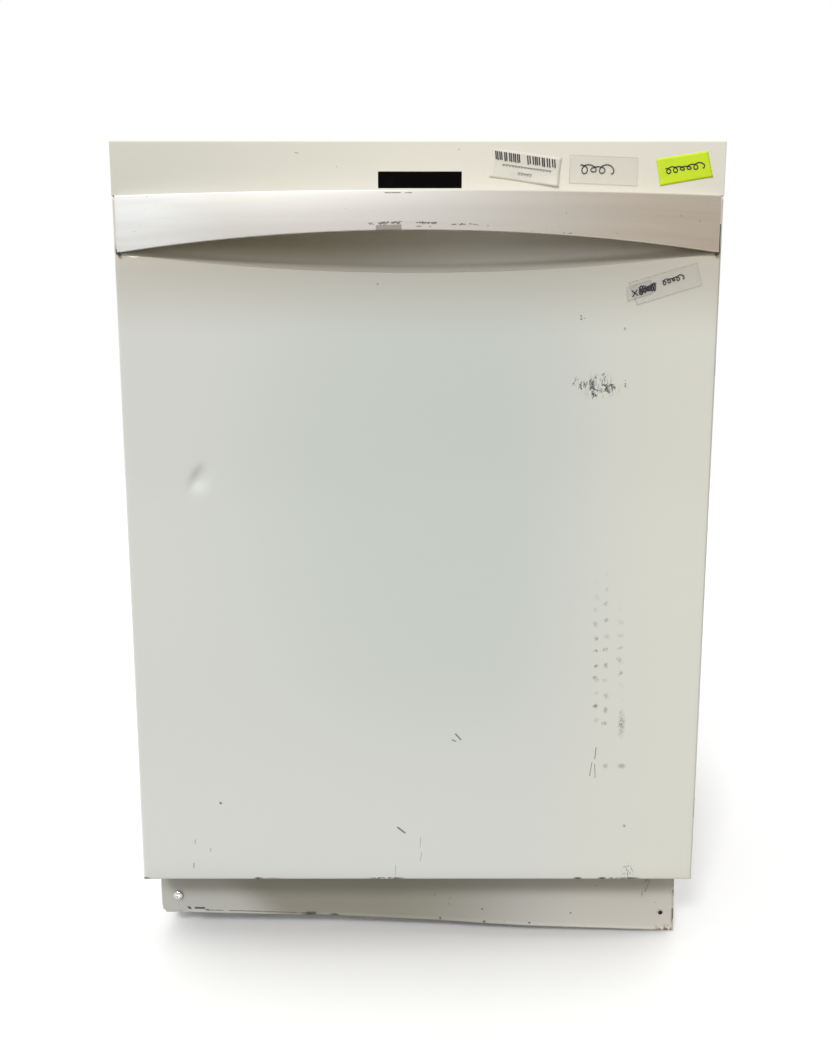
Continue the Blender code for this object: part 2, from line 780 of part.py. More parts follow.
def make_console(door):
    """The control cap, open at its back and bottom, and the display window in its face."""
    half, rear = HALF_WIDTH, -0.231
    adds = [
        ((-half, FACE_Y, SEAM_Z), (half, FACE_Y + PLASTIC, HEIGHT)),
        ((-half, FACE_Y, HEIGHT - PLASTIC), (half, rear, HEIGHT)),
        ((-half, FACE_Y, SEAM_Z), (PLASTIC - half, rear, HEIGHT)),
        ((half - PLASTIC, FACE_Y, SEAM_Z), (half, rear, HEIGHT)),
    ]
    cuts = []
    for x in BUTTON_XS:
        low = (x - BUTTON_SIZE[0] / 2 - GAP, BUTTON_Y - BUTTON_SIZE[1] / 2 - GAP, HEIGHT - PLASTIC)
        high = (x + BUTTON_SIZE[0] / 2 + GAP, BUTTON_Y + BUTTON_SIZE[1] / 2 + GAP, HEIGHT)
        cuts.append((low, high))
    (x, z), (wide, tall) = DISPLAY_CENTRE, DISPLAY_SIZE
    low = (x - wide / 2 - GAP, FACE_Y, z - tall / 2 - GAP)
    cuts.append((low, (x + wide / 2 + GAP, FACE_Y + PLASTIC, z + tall / 2 + GAP)))
    blocks("console", adds, cuts, finish=white_plastic(), origin=HINGE, parent=door)
    low = (x - wide / 2, FACE_Y + 0.0002, z - tall / 2)
    high = (x + wide / 2, FACE_Y + PLASTIC, z + tall / 2)
    blocks("display_window", [(low, high)], finish=black_glass(), origin=HINGE, parent=door)


def make_buttons(door):
    """Five keys in the console's top, hidden when the door is shut."""
    wide, deep, tall = BUTTON_SIZE
    top = HEIGHT - 0.0005
    for number, x in enumerate(BUTTON_XS, start=1):
        low = (x - wide / 2, BUTTON_Y - deep / 2, top - tall)
        high = (x + wide / 2, BUTTON_Y + deep / 2, top)
        blocks(
            f"button_{number}", [(low, high)],
            finish=dark_plastic(), origin=(x, BUTTON_Y, top), parent=door,
        )


LID_LOW, LID_HIGH = (-0.089, -0.2177, 0.4260), (-0.011, -0.2145, 0.4900)
CAP_CENTRE = (0.050, -0.2177, 0.500)


def make_liner(door):
    """The pressed inner door, with a slot for the latch and an opening for the dispenser."""
    half, back = LINER_HALF, DOOR_BACK_Y
    wall = 0.0015
    front = -0.276
    adds = [
        ((-half, back - wall, LINER_BOTTOM), (half, back, LINER_TOP)),
        ((-half, front, LINER_BOTTOM), (wall - half, back, 0.805)),
        ((half - wall, front, LINER_BOTTOM), (half, back, 0.805)),
        ((-half, front, LINER_BOTTOM), (half, back, LINER_BOTTOM + wall)),
    ]
    cuts = [
        ((-0.0120, back - wall, 0.8395), (0.0120, back, 0.8475)),
        ((-0.1010, back - wall, 0.4190), (0.1010, back, 0.5610)),
    ]
    blocks("inner_liner", adds, cuts, finish=tub_finish(), origin=HINGE, parent=door)


def make_dispenser(door):
    """Detergent cup with a sliding lid, and the rinse aid filler with its quarter-turn cap."""
    adds = [
        ((-0.100, -0.256, 0.420), (0.100, -0.218, 0.560)),
        ((-0.104, -0.2275, 0.416), (0.104, -0.218, 0.564)),
    ]
    cuts = [((-0.084, -0.248, 0.431), (-0.016, -0.218, 0.485))]
    body = blocks(
        "dispenser_body", adds, cuts, finish=grey_plastic(), origin=HINGE, parent=door
    )
    x, y, z = CAP_CENTRE
    filler = rod_guide("filler_guide", (x, 0, z), 0.012, -0.245, -0.210, axis=1)
    combine(body, filler, "DIFFERENCE")
    blocks(
        "dispenser_lid", [(LID_LOW, LID_HIGH)],
        finish=grey_plastic(), origin=LID_LOW, parent=door,
    )
    cap_pivot = pivot("rinse_cap_axis", CAP_CENTRE)
    profile = [(0, 0), (0.017, 0), (0.017, 0.0025), (0.0155, 0.0035), (0, 0.0035)]
    cap = turned(
        "rinse_cap", profile, CAP_CENTRE, axis=1,
        finish=dark_plastic(), origin=CAP_CENTRE, parent=cap_pivot,
    )
    low, high = (x - 0.002, y + 0.002, z - 0.013), (x + 0.002, y + 0.0052, z + 0.013)
    combine(cap, blocks("cap_grip_guide", [(low, high)]), "UNION")
    cap_pivot.parent = door
    cap_pivot.location -= door.location


def make_vent(door):
    """The round drying vent."""
    profile = [(0, 0), (0.030, 0), (0.030, 0.003), (0.024, 0.006), (0, 0.006)]
    centre = (0.200, DOOR_BACK_Y + GAP, 0.700)
    turned(
        "door_vent", profile, centre, axis=1,
        finish=grey_plastic(), origin=centre, parent=door,
    )


def make_latch(door):
    """A pawl in the console that drops behind the strike tongue on the tub."""
    hinge = (0.0, -0.2600, 0.8500)
    adds = [
        ((-0.008, -0.2630, 0.8462), (0.008, -0.2360, 0.8510)),
        ((-0.008, -0.2560, 0.8510), (0.008, -0.2500, 0.8540)),
    ]
    blocks(
        "latch_pawl", adds, finish=dark_plastic(), origin=hinge,
        parent=pivot("latch_axis", hinge),
    )
    axis = bpy.data.objects["latch_axis"]
    axis.parent = door
    axis.location -= door.location
    adds = [
        ((-0.0100, -0.2155, 0.8353), (0.0100, -0.1900, 0.8450)),
        ((-0.0100, -0.2500, 0.8420), (0.0100, -0.2155, 0.8450)),
    ]
    blocks("latch_strike", adds, finish=polished_steel())


def make_hinge_arms(door):
    """Flat arms at the door's sides: each holds the door up and takes a spring at its tail."""
    outline = [
        (-0.272, 0.120),
        (-0.203, 0.122),
        (-0.200, 0.130),
        (-0.203, 0.138),
        (-0.243, 0.146),
        (-0.243, 0.400),
        (-0.272, 0.400),
    ]
    for side, name in ((-1, "left"), (1, "right")):
        low, high = sorted((side * ARM_INNER_X, side * ARM_OUTER_X))
        arm = add_object(
            "hinge_arm_" + name, prism_mesh(outline, 0, low, high),
            finish=galvanised(), origin=HINGE, parent=door,
        )
        centre = (0, HINGE.y, HINGE.z)
        hole = rod_guide("arm_hole_guide_" + name, centre, 0.0056, low - 0.01, high + 0.01, axis=0)
        combine(arm, hole, "DIFFERENCE")


def make_door_springs():
    """Counterbalance springs from the arms' tails to the base's sides."""
    for side, name in ((-1, "left"), (1, "right")):
        route = [Vector((side * 0.288, -0.1985, 0.130)), Vector((side * 0.288, 0.120, 0.070))]
        pipe("door_spring_" + name, route, 0.004, polished_steel(), resolution=1)


def make_door():
    door = pivot("door_axis", HINGE)
    make_outer_panel(door)
    make_handle_band(door)
    make_console(door)
    make_buttons(door)
    make_liner(door)
    make_dispenser(door)
    make_vent(door)
    make_latch(door)
    make_hinge_arms(door)


# ---------------------------------------------------------------- base, works and skins
def make_base_frame():
    """The base pan with its side plates, hinge ears and pins, and the tabs for the toe panel."""
    half = BASE_HALF
    adds = [
        ((-half, -0.222, PAN_Z), (half, 0.285, PAN_Z + 0.002)),
        ((-half, 0.283, PAN_Z), (half, 0.285, 0.045)),
        ((-half, -0.222, PAN_Z), (half, -0.220, 0.060)),
    ]
    for side in (-1, 1):

        def span(a, b):
            return sorted((side * a, side * b))

        (low, high) = span(half - 0.003, half)
        adds.append(((low, -0.222, PAN_Z), (high, 0.285, 0.150)))
        adds.append(((low, -0.190, 0.150), (high, 0.285, 0.1650)))
        adds.append(((low, -0.2312, TAB_BOTTOM), (high, -0.222, 0.085)))
        adds.append(((low, -0.272, 0.120), (high, -0.222, 0.140)))
        (low, high) = span(0.262, half)
        adds.append(((low, -0.2312, TAB_BOTTOM), (high, -0.2292, 0.080)))
        adds.append(((low, -0.190, 0.163), (high, 0.285, 0.165)))
    frame = blocks("base_frame", adds, finish=galvanised())
    for side, name in ((-1, "left"), (1, "right")):
        low, high = sorted((side * 0.2855, side * 0.2950))
        centre = (0, HINGE.y, HINGE.z)
        pin = rod_guide("hinge_pin_guide_" + name, centre, 0.0050, low, high, axis=0)
        combine(frame, pin, "UNION")
    for number, (x, y) in enumerate(FOOT_PLACES):
        hole = rod_guide(f"foot_hole_guide_{number}", (x, y, 0), 0.0056, 0.005, 0.03, count=10)
        combine(frame, hole, "DIFFERENCE")
    centre = (KICK_SCREW.x, 0, KICK_SCREW.z)
    hole = rod_guide("kick_hole_guide", centre, SCREW_HOLE_R, -0.24, -0.22, axis=1)
    combine(frame, hole, "DIFFERENCE")


def make_feet():
    """Four levelling feet with a round pad."""
    profile = [(0, 0), (0.018, 0), (0.018, 0.007), (0.012, 0.010), (0.005, 0.010)]
    profile += [(0.005, 0.045), (0, 0.045)]
    names = ("front_left", "front_right", "rear_left", "rear_right")
    for name, (x, y) in zip(names, FOOT_PLACES):
        turned(
            "foot_" + name, profile, (x, y, 0), count=16,
            finish=dark_plastic(), origin=(x, y, 0),
        )


KICK_EDGE_LEFT_Z = 0.0237
KICK_EDGE_RIGHT_Z = 0.0043


def make_kick_panel():
    """A hem-edged toe plate that hangs from its left screw."""
    slope = math.tan(KICK_LEAN)
    left = -KICK_HALF
    outline = [(left + KICK_EAR, KICK_EDGE_LEFT_Z), (KICK_HALF, KICK_EDGE_RIGHT_Z)]
    outline += [(KICK_HALF, KICK_TOP - 0.0220), (left, KICK_TOP)]
    for i in range(5):
        turn = math.pi * (1 + i / 8)
        x = left + EAR_CORNER_R * (1 + math.cos(turn))
        outline.append((x, EAR_BOTTOM + EAR_CORNER_R * (1 + math.sin(turn))))
    outline.append((left + KICK_EAR - 0.002, EAR_BOTTOM))
    flipped = [(z, x) for x, z in outline]
    mesh = prism_mesh(flipped, 1, KICK_Y, KICK_Y + SHEET)
    panel = add_object("kick_panel", mesh, finish=white_enamel())
    across = Vector((KICK_HOLES_APART, 0, -KICK_HOLES_APART * slope))
    for name, place in (("screw_guide", KICK_SCREW), ("empty_hole_guide", KICK_SCREW + across)):
        hole = rod_guide(name, (place.x, 0, place.z), SCREW_HOLE_R, -0.24, -0.22, axis=1)
        combine(panel, hole, "DIFFERENCE")
    profile = [(0, -0.0030), (0.0040, -0.0026), (0.0055, -0.0003), (0.0022, -0.0003)]
    profile += [(0.0022, 0.0100), (0, 0.0100)]
    turned(
        "kick_screw", profile, KICK_SCREW, axis=1, count=16,
        finish=polished_steel(), origin=KICK_SCREW,
    )


def make_pumps():
    """The circulation pump and the drain pump, both lying along X."""
    profile = [(0, 0.050), (0.030, 0.050), (0.042, 0.058), (0.042, 0.088), (0.033, 0.092)]
    profile += [(0.033, 0.185), (0.026, 0.192), (0, 0.192)]
    turned("circulation_pump", profile, (0, 0.125, 0.075), axis=0, count=20, finish=dark_plastic())
    profile = [(0, -0.085), (0.022, -0.085), (0.022, -0.125), (0.016, -0.130)]
    profile += [(0.016, -0.150), (0, -0.150)]
    turned("drain_pump", profile, (0, -0.045, 0.050), axis=0, count=16, finish=dark_plastic())


def make_services():
    """The inlet valve, the junction box and the drain hose with its high loop."""
    adds = [
        ((-0.245, -0.195, PAN_Z + 0.0023), (-0.195, -0.150, 0.060)),
        ((-0.232, -0.205, 0.025), (-0.208, -0.195, 0.049)),
    ]
    blocks("inlet_valve", adds, finish=dark_plastic())
    box = ((0.165, -0.215, PAN_Z + 0.0023), (0.245, -0.155, 0.068))
    blocks("junction_box", [box], finish=galvanised())
    back = BACK_Y - HOSE_R
    points = [
        (-0.1515, -0.045, 0.050),
        (-0.178, -0.044, 0.050),
        (-0.200, -0.030, 0.051),
        (-0.211, -0.002, 0.053),
        (-0.214, 0.050, 0.057),
        (-0.215, 0.140, 0.062),
        (-0.215, 0.240, 0.066),
        (-0.218, 0.288, 0.080),
        (-0.222, back, 0.130),
        (-0.222, back, 0.300),
        (-0.222, back, 0.520),
        (-0.205, back, 0.575),
        (-0.170, back, 0.590),
        (-0.135, back, 0.575),
        (-0.118, back, 0.520),
        (-0.118, back, 0.300),
        (-0.118, back, 0.075),
    ]
    route = [Vector((x, min(y, back), z)) for x, y, z in smooth_route(points, 3)]
    pipe("drain_hose", route, HOSE_R, rubber())


def make_counter_brackets():
    """Tabs on the front of the tub that screw up into the worktop."""
    for side, name in ((-1, "left"), (1, "right")):
        low, high = sorted((side * 0.190, side * 0.215))
        adds = [
            ((low, -0.2155, 0.8353), (high, -0.1900, 0.8368)),
            ((low, -0.2155, 0.8353), (high, -0.2140, 0.8573)),
            ((low, -0.2155, 0.8558), (high, -0.1880, 0.8573)),
        ]
        blocks("counter_bracket_" + name, adds, finish=galvanised())


def make_blanket():
    """Felt over the top and both sides of the tub."""
    inner, outer = 0.2805, 0.2925
    adds = [
        ((-outer, -0.185, TUB_TOP + 0.0005), (outer, 0.260, 0.8475)),
        ((-outer, -0.185, 0.200), (-inner, 0.260, 0.8475)),
        ((inner, -0.185, 0.200), (outer, 0.260, 0.8475)),
    ]
    blocks("insulation_blanket", adds, finish=blanket_felt())


def main():
    clear_scene()
    make_tub()
    make_sump()
    make_filters()
    make_arm("lower_spray_arm", "lower_arm_axis", 0.215, (0.1770, 0.1925), SUMP_Y)
    make_heater()
    make_float()
    make_top_spray()
    make_seal()
    make_rails()
    make_upper_rack()
    make_upper_arm_feed()
    make_arm("upper_spray_arm", "upper_arm_axis", 0.200, (0.4725, 0.4850), UPPER_ARM_Y)
    make_cup_shelf()
    make_lower_rack()
    make_wheels()
    make_silverware_basket()
    make_tine_row()
    make_door()
    make_door_springs()
    make_base_frame()
    make_feet()
    make_kick_panel()
    make_pumps()
    make_services()
    make_counter_brackets()
    make_blanket()


main()
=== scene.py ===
"""Looks of the built-in dishwasher: fine meshes, procedural materials, light and camera.

Everything is in metres in the CAD frame: +X right, +Y back, +Z up, floor at z = 0.
"""

import math
import random

import bmesh
import bpy
import numpy as np
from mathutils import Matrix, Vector


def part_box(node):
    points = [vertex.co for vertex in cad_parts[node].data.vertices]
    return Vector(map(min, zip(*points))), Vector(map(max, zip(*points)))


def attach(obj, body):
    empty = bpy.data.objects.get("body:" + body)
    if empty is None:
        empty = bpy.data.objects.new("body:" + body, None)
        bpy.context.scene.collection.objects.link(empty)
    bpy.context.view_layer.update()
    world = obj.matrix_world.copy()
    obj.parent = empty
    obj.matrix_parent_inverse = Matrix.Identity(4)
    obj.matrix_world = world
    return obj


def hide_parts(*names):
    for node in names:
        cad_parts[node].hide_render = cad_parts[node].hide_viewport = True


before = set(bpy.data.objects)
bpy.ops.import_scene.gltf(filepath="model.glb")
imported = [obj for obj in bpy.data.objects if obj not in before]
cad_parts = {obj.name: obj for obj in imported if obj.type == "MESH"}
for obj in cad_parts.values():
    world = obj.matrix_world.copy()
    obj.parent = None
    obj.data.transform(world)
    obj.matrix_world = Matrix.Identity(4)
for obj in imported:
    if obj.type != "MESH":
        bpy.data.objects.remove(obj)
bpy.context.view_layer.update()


# ---------------------------------------------------------------- places from the frame
def edge(node, side, axis):
    """One coordinate of a node's box: side 0 is the low corner and 1 the high corner."""
    return float(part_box(node)[side][axis])


def corners_of(node):
    """The low and the high corner of a node's box, as vectors."""
    low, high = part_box(node)
    return Vector(low), Vector(high)


HALF = edge("console", 1, 0)
TOP = edge("console", 1, 2)
FACE_Y = edge("console", 0, 1)
SEAM_Z = edge("console", 0, 2)
DOOR_BOTTOM = edge("outer_panel", 0, 2)
PANEL_TOP = edge("outer_panel", 1, 2)
PANEL_BACK = edge("outer_panel", 1, 1)
BAND_HALF = edge("handle_band", 1, 0)
BAND_TIP = FACE_Y - edge("handle_band", 0, 1)
LINER_HALF = edge("inner_liner", 1, 0)
LINER_FRONT = edge("inner_liner", 0, 1)
LINER_BACK = edge("inner_liner", 1, 1)
LINER_LOW = edge("inner_liner", 0, 2)
LINER_HIGH = edge("inner_liner", 1, 2)
TUB_FRONT = edge("tub", 0, 1)
TUB_BACK = edge("tub", 1, 1)
RACK_HALF = edge("silverware_basket", 1, 0) + 0.015
RACK_FRONT = edge("upper_rack", 0, 1)
RACK_BACK = edge("upper_rack", 1, 1)

# The handle band, the pocket and the toe panel follow the same rules as the CAD solids.
BAND_END_TIP = 0.004
BAND_LOW, BAND_END_LOW = 0.7755, edge("handle_band", 0, 2)
POCKET_LOW, POCKET_END_LOW = 0.7396, 0.7580
POCKET_DEPTH = 0.022
DENT = (-0.226, 0.536)


# ---------------------------------------------------------------- shader helpers
class Shader:
    """A Principled material built up from masks in the piece's own coordinates."""

    def __init__(self, name, colour, roughness, metallic=0.0, **sockets):
        self.material = bpy.data.materials.new(name)
        self.material.use_nodes = True
        self.tree = self.material.node_tree
        self.surface = self.tree.nodes["Principled BSDF"]
        self.surface.inputs["Base Color"].default_value = (*colour, 1.0)
        self.surface.inputs["Roughness"].default_value = roughness
        self.surface.inputs["Metallic"].default_value = metallic
        for key, value in sockets.items():
            self.surface.inputs[key.replace("_", " ")].default_value = value
        self.place = self.node("ShaderNodeTexCoord").outputs["Object"]
        self.colour = None
        self.rough = None
        self.normal = None

    def node(self, kind, **settings):
        made = self.tree.nodes.new(kind)
        for key, value in settings.items():
            setattr(made, key, value)
        return made

    def feed(self, socket, value):
        if hasattr(value, "node"):
            self.tree.links.new(value, socket)
        else:
            socket.default_value = value

    def maths(self, operation, first, second=0.0, clamp=False):
        made = self.node("ShaderNodeMath", operation=operation, use_clamp=clamp)
        self.feed(made.inputs[0], first)
        self.feed(made.inputs[1], second)
        return made.outputs[0]

    def both(self, first, second):
        """Where two masks overlap, or one mask weakened by a number."""
        return self.maths("MULTIPLY", first, second)

    def vector(self, operation, first, second, output=0):
        made = self.node("ShaderNodeVectorMath", operation=operation)
        self.feed(made.inputs[0], first)
        self.feed(made.inputs[1], second)
        return made.outputs[output]

    def stretched(self, scale):
        return self.vector("MULTIPLY", self.place, scale)

    def noise(self, scale, detail=2.0, stretch=(1, 1, 1)):
        made = self.node("ShaderNodeTexNoise")
        self.feed(made.inputs["Vector"], self.stretched(stretch))
        made.inputs["Scale"].default_value = scale
        made.inputs["Detail"].default_value = detail
        return made.outputs[0]

    def cells(self, scale, stretch=(1, 1, 1)):
        made = self.node("ShaderNodeTexVoronoi")
        self.feed(made.inputs["Vector"], self.stretched(stretch))
        made.inputs["Scale"].default_value = scale
        return made

    def fade(self, value, low, high, to_low=0.0, to_high=1.0):
        """Smoothly maps low..high of a value to to_low..to_high."""
        made = self.node("ShaderNodeMapRange", interpolation_type="SMOOTHSTEP")
        for key, number in zip(("From Min", "From Max", "To Min", "To Max"),
                               (low, high, to_low, to_high)):
            made.inputs[key].default_value = number
        self.feed(made.inputs["Value"], value)
        return made.outputs[0]

    def axis(self, letter):
        if not hasattr(self, "split"):
            self.split = self.node("ShaderNodeSeparateXYZ")
            self.feed(self.split.inputs[0], self.place)
        return self.split.outputs[letter]

    def shaken(self, scale, reach):
        """The place, pushed about by a cloudy noise by up to half of reach."""
        cloud = self.noise(scale, 3.0).node.outputs["Color"]
        push = self.vector("MULTIPLY", self.vector("SUBTRACT", cloud, (0.5, 0.5, 0.5)), reach)
        return self.vector("ADD", self.place, push)

    def stroke(self, start, end, width, place=None):
        """1 within a stroke from start to end, points of the XZ plane, fading out at its edge."""
        a = Vector((start[0], 0.0, start[1]))
        along = Vector((end[0], 0.0, end[1])) - a
        length = max(along.length, 1e-5)
        flat = self.vector("MULTIPLY", place or self.place, (1, 0, 1))
        offset = self.vector("SUBTRACT", flat, a)
        dot = self.vector("DOT_PRODUCT", offset, along / length, 1)
        held = self.maths("MINIMUM", self.maths("MAXIMUM", dot, 0.0), length)
        scaled = self.node("ShaderNodeVectorMath", operation="SCALE")
        scaled.inputs[0].default_value = along / length
        self.feed(scaled.inputs["Scale"], held)
        distance = self.vector("DISTANCE", offset, scaled.outputs[0], 1)
        return self.fade(distance, width * 0.5, width * 0.2)

    def dotted(self, foot, head, pitch, radius):
        """Dots of one radius at each pitch of height, along a line from foot to head."""
        lean = (head[0] - foot[0]) / (head[1] - foot[1])
        line = self.maths("ADD", self.maths("MULTIPLY", self.axis("Z"), lean), foot[0] - lean * foot[1])
        drift = self.maths("MULTIPLY", self.maths("SUBTRACT", self.noise(75.0, 2.0), 0.5), 0.010)
        across = self.maths("ADD", self.maths("SUBTRACT", self.axis("X"), line), drift)
        along = self.maths("SUBTRACT", self.maths("MODULO", self.axis("Z"), pitch), pitch / 2)
        along = self.maths("SUBTRACT", along, drift)
        square = self.maths("ADD", self.maths("MULTIPLY", across, across),
                            self.maths("MULTIPLY", along, along))
        dot = self.fade(self.maths("SQRT", square), radius, radius * 0.3)
        ends = self.maths("MULTIPLY", self.fade(self.axis("Z"), foot[1], foot[1] + 0.01),
                          self.fade(self.axis("Z"), head[1], head[1] - 0.12))
        return self.maths("MULTIPLY", dot, ends)

    def patch(self, centre, size, power=1.0):
        """1 in the middle of an ellipse of the XZ plane, fading to 0 at its rim."""
        offset = self.vector("SUBTRACT", self.place, (centre[0], 0, centre[1]))
        scaled = self.vector("MULTIPLY", offset, (1 / size[0], 0, 1 / size[1]))
        distance = self.vector("LENGTH", scaled, (0, 0, 0), 1)
        return self.fade(distance, 1.0, 0.15, 0.0, power)

    def most(self, masks):
        total = masks[0]
        for mask in masks[1:]:
            total = self.maths("MAXIMUM", total, mask)
        return total

    def tint(self, mask, colour, amount=1.0):
        """Mixes a colour over what is there, where the mask is."""
        mix = self.node("ShaderNodeMix", data_type="RGBA")
        fac = mask if amount == 1.0 else self.maths("MULTIPLY", mask, amount)
        self.feed(mix.inputs["Factor"], fac)
        under = self.colour or tuple(self.surface.inputs["Base Color"].default_value)
        self.feed(mix.inputs[6], under)
        self.feed(mix.inputs[7], (*colour, 1.0))
        self.colour = mix.outputs[2]
        return self

    def roughen(self, mask, low, high):
        """Roughness from low where the mask is 0 to high where it is 1."""
        made = self.node("ShaderNodeMapRange")
        made.inputs["To Min"].default_value = low
        made.inputs["To Max"].default_value = high
        self.feed(made.inputs["Value"], mask)
        self.rough = made.outputs[0]
        return self

    def bump(self, height, distance, strength=1.0):
        made = self.node("ShaderNodeBump")
        made.inputs["Distance"].default_value = distance
        made.inputs["Strength"].default_value = strength
        self.feed(made.inputs["Height"], height)
        if self.normal:
            self.feed(made.inputs["Normal"], self.normal)
        self.normal = made.outputs[0]
        return self

    def done(self):
        for key, value in (("Base Color", self.colour), ("Roughness", self.rough),
                           ("Normal", self.normal)):
            if value:
                self.feed(self.surface.inputs[key], value)
        return self.material


# ---------------------------------------------------------------- materials
def door_enamel():
    """Stove enamel with scuffs, ink marks and chipped edges where this door has them, and painted light and
    shade: a painted reflection in the middle, painted light at the bottom and right, painted shade under the
    band, in the pocket and on the right edge, and a painted highlight in the pocket.
    """
    s = Shader("door_enamel", (0.745, 0.765, 0.745), 0.30, Coat_Weight=0.25, Coat_Roughness=0.12)
    s.tint(s.fade(s.noise(2.2, 1.0), 0.3, 0.75), (0.725, 0.745, 0.715), 0.5)
    # painted reflection: a darker, greener patch in the middle of the door
    s.tint(s.patch((0.02, 0.52), (0.32, 0.42)), (0.640, 0.700, 0.680), 0.8)
    # painted light: the enamel is made lighter towards the bottom and lighter and warmer towards the right
    # edge
    s.tint(s.fade(s.axis("Z"), 0.34, 0.12), (0.800, 0.825, 0.805), 0.7)
    s.tint(s.fade(s.axis("X"), 0.08, 0.28), (0.840, 0.835, 0.755), 0.7)
    # painted shade: darker and warmer towards the top, under the handle band
    s.tint(s.fade(s.axis("Z"), 0.670, 0.745), (0.570, 0.545, 0.480), 0.7)
    # painted shade: warmer and darker over the pocket behind the band
    s.tint(s.fade(s.axis("Z"), 0.742, 0.756), (0.800, 0.740, 0.610), 0.5)
    end_rise = (POCKET_END_LOW - POCKET_LOW) / BAND_HALF ** 2
    rim = s.both(s.both(s.axis("X"), s.axis("X")), end_rise)
    above = s.maths("SUBTRACT", s.maths("SUBTRACT", s.axis("Z"), POCKET_LOW), rim)
    # painted highlight: a light patch in the pocket just above its rim, right of centre
    s.tint(s.both(s.fade(above, 0.006, 0.014), s.fade(s.axis("X"), -0.12, 0.10)),
           (0.960, 0.955, 0.930), 0.9)
    # painted shade: a dark band inside the pocket, just above its lower rim
    s.tint(s.both(s.fade(above, 0.0, 0.0015), s.fade(above, 0.012, 0.004)),
           (0.430, 0.405, 0.350), 0.75)
    # painted shade: a brownish darkening down the door's right return edge
    s.tint(s.fade(s.axis("X"), 0.2968, 0.2985), (0.400, 0.360, 0.290), 0.45)
    fine = s.noise(900.0, 2.0)
    broken = s.fade(s.noise(520.0, 3.0, (1.0, 1.0, 0.55)), 0.52, 0.60)
    rubs = [((0.1585, 0.6365), (0.1575, 0.6300), 0.0026), ((0.1655, 0.6330), (0.1635, 0.6270), 0.0028),
            ((0.1695, 0.6340), (0.1690, 0.6280), 0.0018), ((0.1750, 0.6345), (0.1760, 0.6270), 0.0048),
            ((0.1760, 0.6270), (0.1775, 0.6190), 0.0036), ((0.1770, 0.6260), (0.1810, 0.6245), 0.0028),
            ((0.1790, 0.6400), (0.1785, 0.6365), 0.0018), ((0.1870, 0.6400), (0.1880, 0.6340), 0.0020),
            ((0.1870, 0.6310), (0.1915, 0.6235), 0.0036), ((0.1915, 0.6300), (0.1880, 0.6240), 0.0030),
            ((0.1945, 0.6310), (0.1965, 0.6265), 0.0036), ((0.1965, 0.6300), (0.1935, 0.6270), 0.0030),
            ((0.2090, 0.6330), (0.2095, 0.6290), 0.0018), ((0.1620, 0.6970), (0.1650, 0.6940), 0.0018)]
    ragged = s.shaken(330.0, (0.013, 0, 0.010))
    worn = s.most([s.stroke(*rub, ragged) for rub in rubs])
    s.tint(s.both(worn, s.fade(fine, 0.34, 0.50)), (0.015, 0.017, 0.015), 0.92)
    streaks = s.fade(s.noise(700.0, 3.0, (1.0, 1.0, 0.22)), 0.50, 0.60)
    halo = s.both(s.patch((0.1830, 0.6290), (0.028, 0.016)), streaks)
    s.tint(halo, (0.10, 0.10, 0.095), 0.50)
    columns = [s.dotted((0.1905, 0.262), (0.1850, 0.450), 0.0150, 0.0036),
               s.dotted((0.2005, 0.262), (0.1950, 0.460), 0.0165, 0.0038),
               s.dotted((0.2170, 0.258), (0.2110, 0.420), 0.0140, 0.0040),
               s.both(s.patch((0.2175, 0.275), (0.0050, 0.022)), 0.8)]
    speck = s.both(s.fade(s.noise(34.0, 1.0), 0.36, 0.60), s.fade(fine, 0.40, 0.56))
    s.tint(s.both(s.most(columns), speck), (0.13, 0.13, 0.12), 0.85)
    strokes = [
        s.stroke((0.191, 0.247), (0.190, 0.234), 0.0013),
        s.stroke((0.187, 0.230), (0.185, 0.215), 0.0011),
        s.stroke((0.190, 0.228), (0.191, 0.213), 0.0010),
        s.stroke((0.0405, 0.262), (0.046, 0.256), 0.0022),
        s.stroke((0.0370, 0.2555), (0.0405, 0.254), 0.0018),
        s.stroke((-0.0215, 0.1560), (-0.0140, 0.1500), 0.0028),
        s.stroke((-0.2130, 0.1845), (-0.2125, 0.1840), 0.0034),
    ]
    s.tint(s.most(strokes), (0.045, 0.042, 0.036), 0.80)
    faint = [
        s.stroke((0.0035, 0.145), (0.0025, 0.133), 0.0010),
        s.stroke((0.0045, 0.127), (0.0030, 0.117), 0.0010),
        s.stroke((-0.0240, 0.112), (-0.0242, 0.101), 0.0009),
        s.stroke((-0.2415, 0.1420), (-0.2420, 0.1380), 0.0016),
        s.stroke((-0.2250, 0.1320), (-0.2255, 0.1290), 0.0014),
        s.stroke((-0.2440, 0.1145), (-0.2445, 0.1100), 0.0022),
        s.stroke((0.2065, 0.6860), (0.2070, 0.6850), 0.0028),
        s.stroke((0.2240, 0.1580), (0.2245, 0.1575), 0.0040),
        s.stroke((-0.0400, 0.7290), (-0.0398, 0.7288), 0.0030),
        s.patch((0.2015, 0.2262), (0.004, 0.004), 0.7),
        s.patch((0.2190, 0.2262), (0.006, 0.004), 0.9),
    ]
    s.tint(s.most(faint), (0.16, 0.16, 0.15), 0.55)
    smudge = s.both(s.patch((0.2300, 0.1050), (0.009, 0.013)), broken)
    s.tint(smudge, (0.10, 0.10, 0.09), 0.75)
    lip = s.fade(s.axis("Z"), DOOR_BOTTOM + 0.0038, DOOR_BOTTOM + 0.0026)
    spans = ((-0.2985, 0.008), (-0.1740, 0.006), (-0.0330, 0.026), (0.1750, 0.006),
             (0.2020, 0.006), (0.2145, 0.007), (0.2310, 0.015))
    chips = [s.patch((x, DOOR_BOTTOM), (reach, 0.030)) for x, reach in spans]
    torn = s.fade(s.noise(160.0, 4.0), 0.32, 0.42)
    s.tint(s.both(s.both(lip, s.most(chips)), torn), (0.020, 0.017, 0.014))
